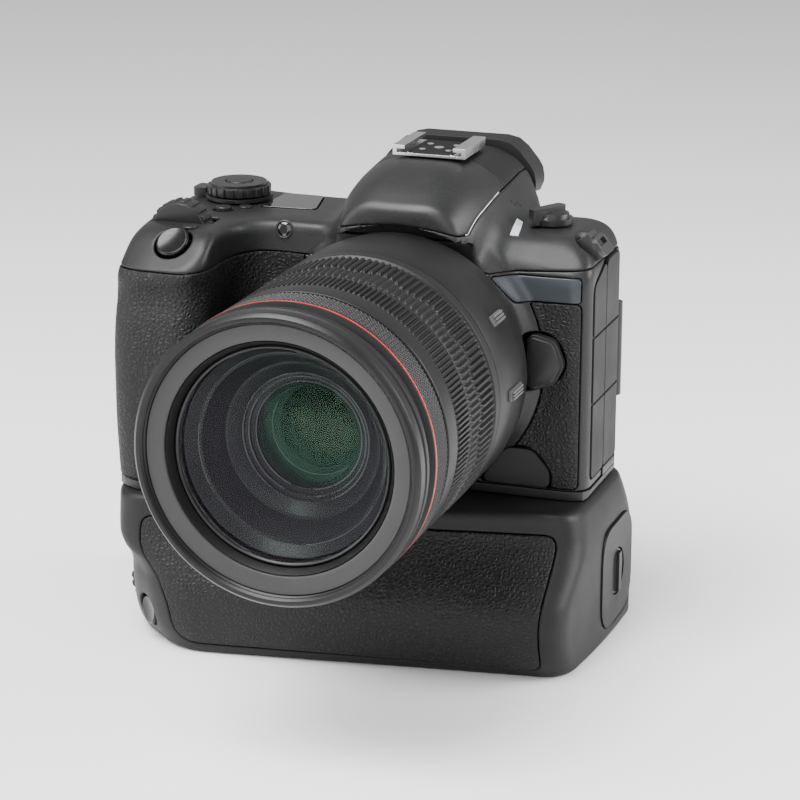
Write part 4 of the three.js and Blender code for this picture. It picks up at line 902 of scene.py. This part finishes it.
# %% Lens barrel
barrel_profile = [(33.4, -20.4), (36.4, -20.4), (37.8, -21.2), (39.4, -23.4), (40.5, -26.6), (LENS_R - 0.45, -34),
                  (LENS_R -
    0.35, -
    44), (LENS_R -
    0.35, ZOOM_Y[1] +
    0.45), (BORE -
    0.3, ZOOM_Y[1] +
    0.45), (BORE -
    0.3, RIM +
     15),
                  (37.4, RIM + 15), (37.4, -52), (24.5, -50), (22.5, -40), (22.5, -20.4)]
turned("lens_barrel_turned", barrel_profile, "root", lens_paint, ["lens_barrel"], 224, soft=0.3)

# %% [markdown]
# The camera's front, top and hump are one flowing form that is divided by thin seams into separate mouldings. So
# one skin is meshed from the body field, then divided by scalar fields that are 0 along each seam. Each division
# keeps a gap, its edge sinks in a small lip, and a strip closes it to an inner wall: a real moulded cover.

# %% Outlines on the skin


def fillet_outline(corners, steps=4):
    """A closed outline through corners (u, v, radius), each corner replaced by a quadratic curve."""
    p = np.array([c[:2] for c in corners], float)
    out = []
    for k, (corner, row) in enumerate(zip(p, corners)):
        before, after = p[k - 1] - corner, p[(k + 1) % len(p)] - corner
        a, b = np.linalg.norm(before), np.linalg.norm(after)
        start, end = (corner + d / n * min(row[2], n * 0.45) for d, n in ((before, a), (after, b)))
        for t in np.linspace(0, 1, steps + 1):
            out.append((1 - t) ** 2 * start + 2 * t * (1 - t) * corner + t * t * end)
    return np.array(out)


def outline_distance(u, v, corners):
    """Signed distance to the outline, negative inside: nearest segment, with the sign from crossings of a ray."""
    loop = fillet_outline(corners)
    nearest, inside = np.full(u.shape, np.inf), np.zeros(u.shape, bool)
    for (au, av), (bu, bv) in zip(loop, np.roll(loop, -1, 0)):
        du, dv = bu - au, bv - av
        t = np.clip(((u - au) * du + (v - av) * dv) / max(du * du + dv * dv, 1e-12), 0, 1)
        nearest = np.minimum(nearest, np.hypot(u - au - t * du, v - av - t * dv))
        crosses = ((av > v) != (bv > v)) & (u < (bu - au) * \
                   (v - av) / (dv if abs(dv) > 1e-12 else 1e-12) + au)
        inside ^= crosses
    return np.where(inside, -nearest, nearest)


TOP_SEAM = [(-90, 68.8), (-58, 69.3), (-48, 70.2), (-34, 69.8), (27, 70), (51, 71.4), (60, 72.6)]
HUMP_SIDE = [(-28, 19.6), (-19, 20.8), (-12.5, 21.7), (-3.5, 22.2), (12, 22.8), (31, 22.8)]
SIDE_LEATHER = [(25, 3.6, 2), (53.2, 3.6, 2), (53.2, 61.6, 2),
                 (33, 61.2, 2), (36.5, 53, 5), (36.5, 31, 5), (29, 19, 6)]
BADGE = [(26.2, 69.2, 1), (34.0, 61.5, 1), (53.0, 61.7, 1), (53.0, 69.4, 1)]
RELEASE = [(36.4, 34, 3), (46, 37, 5), (49.6, 43, 5), (46, 51.3, 5), (36.4, 53.3, 3)]
REMOTE = [(22, 3.6, 2), (44.8, 3.6, 1.5), (44.8, 9, 4), (39, 16, 5), (31, 16, 5)]
PORTS = [(-9, 5.6, 2), (19.6, 5.6, 2), (19.6, 71.4, 2), (4.6, 71.4, 1), (-9, 66.4, 3)]
DISPLAY = [(-55.2, 0.8, 2), (-36.8, 2.3, 2), (-40.8, 20.7, 2.5), (-54.2, 20.7, 2.5)]
SHUTTER_N = np.array(PLATEAU_NORMAL) / np.linalg.norm(PLATEAU_NORMAL)

in_top = lambda p: curve(p[0], TOP_SEAM) - p[2]
hump_foot = lambda p: np.where(p[1] < -20, 84.4 - 0.006 * p[0] ** 2, 79.0)
in_hump = lambda p: np.maximum(np.abs(p[0]) - curve(p[1], HUMP_SIDE), hump_foot(p) - p[2])
in_hump_rear = lambda p: 7.0 - p[1]
beside_mount = lambda p: 42.3 - np.hypot(p[0], p[2] - AXIS_DECK)
in_side_leather = lambda p: np.maximum(outline_distance(p[0], p[2], SIDE_LEATHER), beside_mount(p))
in_grip_leather = lambda p: np.maximum(np.maximum(p[0] + 34.2, 3.6 - p[2]), beside_mount(p))
on_badge = lambda p: outline_distance(p[0], p[2], BADGE)
on_release = lambda p: outline_distance(p[0], p[2], RELEASE)
on_remote = lambda p: outline_distance(p[0], p[2], REMOTE)
on_ports = lambda p: np.maximum(outline_distance(p[1], p[2], PORTS), 52 - p[0])
on_mount = lambda p: np.maximum(np.hypot(p[0], p[2] - AXIS_DECK) - 36.6, p[1] + 12)
on_display = lambda p: outline_distance(p[0], p[1], DISPLAY)
on_main_dial = lambda p: np.maximum(rounded_box(p[0], p[1], -81.6, -60.4, -25.9, -17.1, 1.0), 70 - p[2])
on_record = lambda p: np.hypot(p[0] + 64, p[1] + 6.5) - 3.0


def on_shutter(p):
    """Distance from the wall of the round well, measured square to the plateau's normal."""
    d = p - np.array(PLATEAU_POINT)[:, None]
    along = SHUTTER_N @ d
    return np.maximum(np.linalg.norm(d - SHUTTER_N[:, None] * along, axis=0) - 6.0, np.abs(along) - 7)


# %% [markdown]
# The field that is meshed is the body with the boss round the lens mount joined on, the lens's room cut out of
# it, and a scoop for the strap lug. Each moulding is then a list of
# fields to stay inside and fields to avoid.

# %% Divide the skin
BOSS_R, BOSS_TAPER_FROM, ROOM_R = 42, -14.6, 42.7


def camera_form(p):
    """The body field with the mount boss joined, and the lens's room and the lug's scoop cut out."""
    x, y, z = p
    around = np.hypot(x, z - AXIS_DECK)
    boss = np.maximum(around - BOSS_R + np.maximum(BOSS_TAPER_FROM - y, 0) * 0.8, -19.5 - y)
    body = smooth_min(body_field(p), np.maximum(boss, y - 5), 2.0)
    room = np.maximum(around - ROOM_R, y + 19.7)
    scoop = (np.sqrt(((x - 55) / 8.4) ** 2 + ((y - 1) / 8.8) ** 2 + ((z - 80) / 7.2) ** 2) - 1) * 7.2
    return smooth_max(smooth_max(body, -room, 0.6), -scoop, 0.8)


CELL = 0.95
camera_skin = skin_of(camera_form, (LEFT - 3, -54.5, -0.6), (RIGHT + 3, BACK + 4, HUMP + 3), CELL)
print("camera skin:", len(camera_skin[0]), "points,", len(camera_skin[1]), "triangles")


def moulding(skin, keep, away=(), gap=0.13, lip=0.45, thickness=1.5):
    """The part of the skin inside every field of `keep` and outside every field of `away`, as a closed shell."""
    points, triangles = skin
    fields = list(keep) + [lambda p, f=f: -f(p) for f in away]
    for f in fields:
        for inset in (lip, lip * 0.4):
            points, triangles = cut(points, triangles, f(points.T) + gap + inset)
        points, triangles = cut(points, triangles, f(points.T) + gap, keep=-1)
        points, triangles = tidy(points, triangles)
    edge = np.max([f(points.T) + gap for f in fields], axis=0)
    return shell(points, triangles, thickness, edge, lip)


not_ = lambda f: (lambda p: -f(p))
in_front = lambda p: p[1] - 4.0
parts = {
    "front_cover_moulded": (moulding(camera_skin, [in_front, not_(in_top), not_(in_hump), lambda p: 3.2 - p[2]],
                                     [in_grip_leather, in_side_leather, on_badge, on_release, on_remote, on_ports,
                                      on_mount]),
                            "satin_paint", satin_paint, ["front_cover"]),
    "grip_leather_skin": (moulding(camera_skin, [in_front, not_(in_top), in_grip_leather],
                                   [], 0.16, 0.5, 1.0), "rubber_grip", rubber_grip, ["grip_leather"]),
    "side_leather_skin": (moulding(camera_skin, [in_front, not_(in_top), in_side_leather],
                                   [on_badge, on_release, on_remote], 0.16, 0.5, 1.0),
                          "rubber_grip", rubber_grip, ["side_leather"]),
    "badge_moulded": (moulding(camera_skin, [in_front, on_badge], [], 0.16, 0.3, 1.2),
                      "badge", badge_paint, ["badge_plate"]),
    "top_cover_moulded": (moulding(camera_skin, [in_top, not_(in_hump)],
                                   [on_display, on_main_dial, on_record, on_shutter, on_ports],
                                   thickness=0.9),
                          "satin_paint", satin_paint, ["top_cover"]),
    "hump_cover_moulded": (moulding(camera_skin, [in_hump, not_(in_hump_rear)]),
                           "satin_paint", satin_paint, ["hump_cover"]),
    "finder_housing_moulded": (moulding(camera_skin, [in_hump, in_hump_rear]),
                               "matte_housing", matte_housing, ["evf_housing"]),
}
for name, ((points, faces), slot_name, material, nodes) in parts.items():
    piece(name, points, faces, "root", material, nodes, lift=DECK, merge=0.02, sharp=50)
    print(name, len(faces), "triangles")

# %% [markdown]
# Small fittings finish the front: the focus lamp behind a dark lens left of the hump, the pale strip of the
# recording lamp on the right shoulder, two small buttons, and black discs painted as the shade in the microphone's
# holes.

# %% Small fittings


def on_skin(x, y, z, rounds=6):
    """The nearest point of the camera form to (x, y, z), and the outward direction there."""
    p = settle(camera_form, np.array([[x, y, z]], float), rounds)
    n = gradient(camera_form, p.T)[:, 0]
    return p[0], n / np.linalg.norm(n)


def fitting(name, spot, profile, body, material, segments=64, soft=0.12):
    """A small turned part that stands on the skin at `spot`, its axis square to the surface."""
    at, n = on_skin(*spot)
    where = about(n, at + np.array([0, 0, DECK]))
    return turned(name, profile, body, material, segments=segments, soft=soft, where=where)


fitting("focus_lamp_ring", (-40.8, -14.4, 77), [(2.2, -0.4), (2.9, -0.4), (2.9, 0.12), (2.5, 0.3), (2.2, 0.12)], "root",
        black_metal)
fitting("focus_lamp_lens", (-40.8, -14.4, 77), [(0, -0.4), (2.25, -0.4), (2.25, 0.0), (1.4, 0.28), (0, 0.4)], "root",
        display_glass)
fitting("function_button", (-64.5, -31.5, 83), [(0, -0.5), (2.4, -0.5), (2.4, 0.5), (2.1, 0.75), (0, 0.85)], "root",
        control_plastic)
fitting("lamp_button", (-58.5, -2, 80), [(0, -0.5), (2.0, -0.5), (2.0, 0.5), (1.7, 0.7), (0, 0.75)], "root",
        control_plastic)
# The microphone holes are not cut: each is a thin black disc on the skin, painted shade where the hole is dark.
for k, spot in enumerate([(24.9, 6.5, 86.2), (25.5, 7.9, 85), (25.7, 9.6, 85.3), (26.3, 10.8, 84.2)]):
    fitting(f"microphone_hole_shade_{k}", spot, [(0, -0.3), (0.45, -0.3), (0.45, 0.03), (0, 0.03)], "root",
            inner_black, segments=20, soft=0)
strip = []
for t in np.linspace(0, 1, 14):
    for s in (-1.3, 1.3):
        at, n = on_skin(28 + 1.9 * t + s * 0.98, 4.5 - 11.5 * t + s * 0.17, 81 - 2 * t)
        strip.append((at + n * 0.22, at - n * 0.5))
top_side, low_side = (np.array([s[k] for s in strip]).reshape(14, 2, 3) for k in (0, 1))
rings = np.stack([top_side[:, 0], top_side[:, 1], low_side[:, 1], low_side[:, 0]], 1).reshape(-1, 3)
i = np.arange(13)[:, None] * 4
j = np.arange(4)[None, :]
faces = np.stack([i + j, i + (j + 1) % 4, i + 4 + (j + 1) % 4, i + 4 + j], -1).reshape(-1, 4)
faces = np.concatenate([faces, [[3, 2, 1, 0], [52, 53, 54, 55]]])
piece(
    "recording_lamp",
    rings,
    outward(
        rings,
        faces),
        "root",
        tally_plastic,
        lift=DECK,
         sharp=40)
print("fittings made")

# %% [markdown]
# The vertical grip is one moulding with a slanting front: low at the connector end, deep at the hand-grip end,
# and with a lower left corner that is cut off for the second shutter button. Height by height it is a plan
# outline, so its field is the distance to that outline, with the
# outline's corners moving as the height changes.

# %% Vertical grip
GRIP_LEFT, GRIP_RIGHT, GRIP_BACK = -86, 61.2, 26
GRIP_NOSE_RIGHT = [(0, -38), (4, -42.6), (9, -45.4), (15, -47.2), (20.5, -47), (26, -43.4), (30, -37.6), (36, -30),
                   (41, -27.2), (DECK, -26)]
GRIP_NOSE_LEFT = [(0, -56.4), (9, -59), (20.5, -59.6), (30, -57), (36, -54.8), (DECK, -53.6)]
GRIP_CUT = [(0, 1.4), (2, 1.25), (6, 1.1), (12, 1), (25, 0.9), (32, 0.12), (36, 0)]
GRIP_LEATHER = [(-61, 3.2, 8), (51.4, 3.2, 4), (51.4, 41.4, 4),
                 (-73.4, 41.4, 4), (-73.4, 31, 9), (-63.6, 19.4, 16)]
END_CAP = [(-11, 4, 10), (23, 4, 10), (23, 36, 10), (-11, 36, 10)]


def grip_field(p):
    """Soft intersection of the right end, back, left end, the slanting front and the cut-off left corner."""
    x, y, z = p
    right, left, cut_by = curve(
    z, GRIP_NOSE_RIGHT, 2.5), curve(
        z, GRIP_NOSE_LEFT, 2.5), curve(
            z, GRIP_CUT, 2.5)

    def wall(ax, ay, bx, by):
        """Distance outside the upright wall from a to b, with the inside on the left of a to b."""
        dx, dy = bx - ax, by - ay
        return ((x - ax) * dy - (y - ay) * dx) / np.hypot(dx, dy)

    corner = (GRIP_LEFT + 2.6 * cut_by, left + 9 + 8.6 * cut_by)
    tip = (-78 + 13.6 * cut_by, left)
    front = wall(*tip, GRIP_RIGHT - 3.4, right)
    cheek = wall(GRIP_RIGHT - 3.4, right, GRIP_RIGHT, -12)
    side = smooth_max(cheek, x - GRIP_RIGHT, 3)
    bevel = wall(*corner, *tip)
    end = wall(GRIP_LEFT + 1.4 * cut_by, GRIP_BACK, *corner)
    body = smooth_max(smooth_max(front, side, 8), smooth_max(bevel, end, 8), 7)
    body = smooth_max(body, y - GRIP_BACK, 7)
    slope = plane(p, (0.89, 0, 0.45), (GRIP_RIGHT, 0, DECK - 10))
    body = smooth_max(body, slope, 5)
    return smooth_max(smooth_max(body, z - DECK, 2.4), -z, 2.2)


GRIP_CELL = 1.0
grip_skin = skin_of(grip_field, (GRIP_LEFT - 3, -62, -3),
                    (GRIP_RIGHT + 3, GRIP_BACK + 3, DECK + 3), GRIP_CELL)
in_grip_cover = lambda p: np.maximum(outline_distance(p[0], p[2], GRIP_LEATHER), p[1] + 16)
on_cap = lambda p: np.maximum(outline_distance(p[1], p[2], END_CAP), 54 - p[0])
on_second_shutter = lambda p: np.maximum(
    np.linalg.norm(np.cross((p.T - (-71.8, -49.3, 9.8)), np.array([-0.65, -0.76, 0])), axis=1) - 5.2,
    np.abs(p[1] + 49.3) - 8)
on_second_dial = lambda p: np.maximum(rounded_box(p[1], p[2], -36.1, -28.7, 4, 23.4, 1), p[0] + 76)
for name, keep, away, slot_name, material, nodes in [
        ("grip_housing_moulded", [], [in_grip_cover, on_cap, on_second_shutter, on_second_dial], "matte_housing",
         matte_housing, ["vgrip_housing"]),
        ("grip_covering_skin", [in_grip_cover], [on_second_shutter], "rubber_grip", rubber_grip, ["vgrip_leather"])]:
    points, faces = moulding(grip_skin, keep, away, gap=0.16, lip=0.5)
    piece(name, points, faces, "root", material, nodes, merge=0.02, sharp=50)
    print(name, len(faces), "triangles")

# %% [markdown]
# Between the bright rails of the accessory shoe lies a dark floor with five spring contacts.

# %% Shoe floor
shoe_low, shoe_high = corner_mm("hot_shoe", 0), corner_mm("hot_shoe", 1)
SHOE_FLOOR = shoe_high[2] - 2.2  # top of the contact block


def tile(x0, x1, y0, y1, radius, low, high, round_by=0.12, steps=5):
    """A plate whose outline is a rounded rectangle; its upper rim steps in by round_by. Rings: low, shoulder, rim."""
    t = np.linspace(0, np.pi / 2, steps)
    corners = [(x1, y1, 0), (x0, y1, 1), (x0, y0, 2), (x1, y0, 3)]

    def ring(inset, height):
        points = []
        for cx, cy, quarter in corners:
            sx, sy = (1 if cx == x1 else -1), (1 if cy == y1 else -1)
            a = t + quarter * np.pi / 2
            points.append(np.stack([cx - sx * radius + (radius - inset) * np.cos(a),
                                    cy - sy * radius + (radius - inset) * np.sin(a), np.full(steps, height)], 1))
        return np.concatenate(points)

    rings = [ring(0, low), ring(0, high - round_by), ring(round_by, high)]
    n = len(rings[0])
    j = np.arange(n)
    faces = [[k * n + a, k * n + (a + 1) %
    n, (k + 1) * n + (a + 1) %
     n, (k + 1) * n + a] for k in (0, 1) for a in j]
    return np.concatenate(rings), faces + [list(range(n))[::-1], list(range(2 * n, 3 * n))]


points, faces = tile(-7.2, 7.2, shoe_low[1] + 0.6, shoe_high[1] - \
                     0.6, 1.2, SHOE_FLOOR - 0.3, SHOE_FLOOR + 0.12)
piece("shoe_floor", points, faces, "root", inner_black, sharp=40)
CONTACTS = [(0, 11.8, 1.5), (-4.2, 8, 1.0), (4.2, 8, 1.0), (-4.2, 16, 1.0), (4.2, 16, 1.0)]
for k, (x, y, r) in enumerate(CONTACTS):
    turned(f"shoe_contact_{k}", [(0, -0.1), (r, -0.1), (r, 0.05), (r * 0.6, 0.16), (0, 0.2)], "root", alloy,
           segments=32, soft=0.05, where=about((0, 0, 1), (x, y, SHOE_FLOOR + 0.12)))
print("shoe contacts:", len(CONTACTS))

# %% [markdown]
# The pieces that have no finer form above keep their CAD shape, as refined copies in the right finish.

# %% Refined pieces
REFINED = [
    ("satin_paint", satin_paint, ["rear_cover", "bottom_plate", "card_door"]),
    ("matte_housing", matte_housing, ["battery_magazine"]),
    ("lens_paint", lens_paint, ["front_barrel"]),
    ("alloy", dark_alloy, ["chassis", "strap_lug_left", "strap_lug_right"]),
    ("alloy", alloy, ["mount_ring", "lens_mount"]),
    ("alloy", shoe_metal, ["hot_shoe"]),
    ("black_metal", black_metal, ["power_lever", "stills_movie_lever", "monitor_arm"]),
    ("cover_rubber", cover_rubber, ["eyecup", "remote_cover",
     "port_cover_front", "port_cover_rear", "joystick"]),
    ("knurled_ring", knurled_ring, ["main_dial", "top_dial", "rear_dial", "vgrip_dial"]),
    ("gloss_button", gloss_button, ["shutter_button", "vgrip_shutter_button"]),
    ("control_plastic", control_plastic, ["mode_button", "record_button", "release_button", "set_button",
                                          "af_on_button", "menu_button", "monitor_case", "magazine_latch"]),
    ("switch_grey", switch_grey, ["focus_mode_switch", "stabilizer_switch"]),
    ("display_glass", display_glass, ["image_sensor", "top_display_window", "monitor_glass"]),
    ("eyepiece_glass", eyepiece_glass, ["eyepiece_lens"]),
    ("lens_glass", lens_glass, ["rear_element"]),
]
for slot_name, material, nodes in REFINED:
    for node in nodes:
        refined(node, material)
print("refined CAD copies:", sum(len(nodes) for _, _, nodes in REFINED))
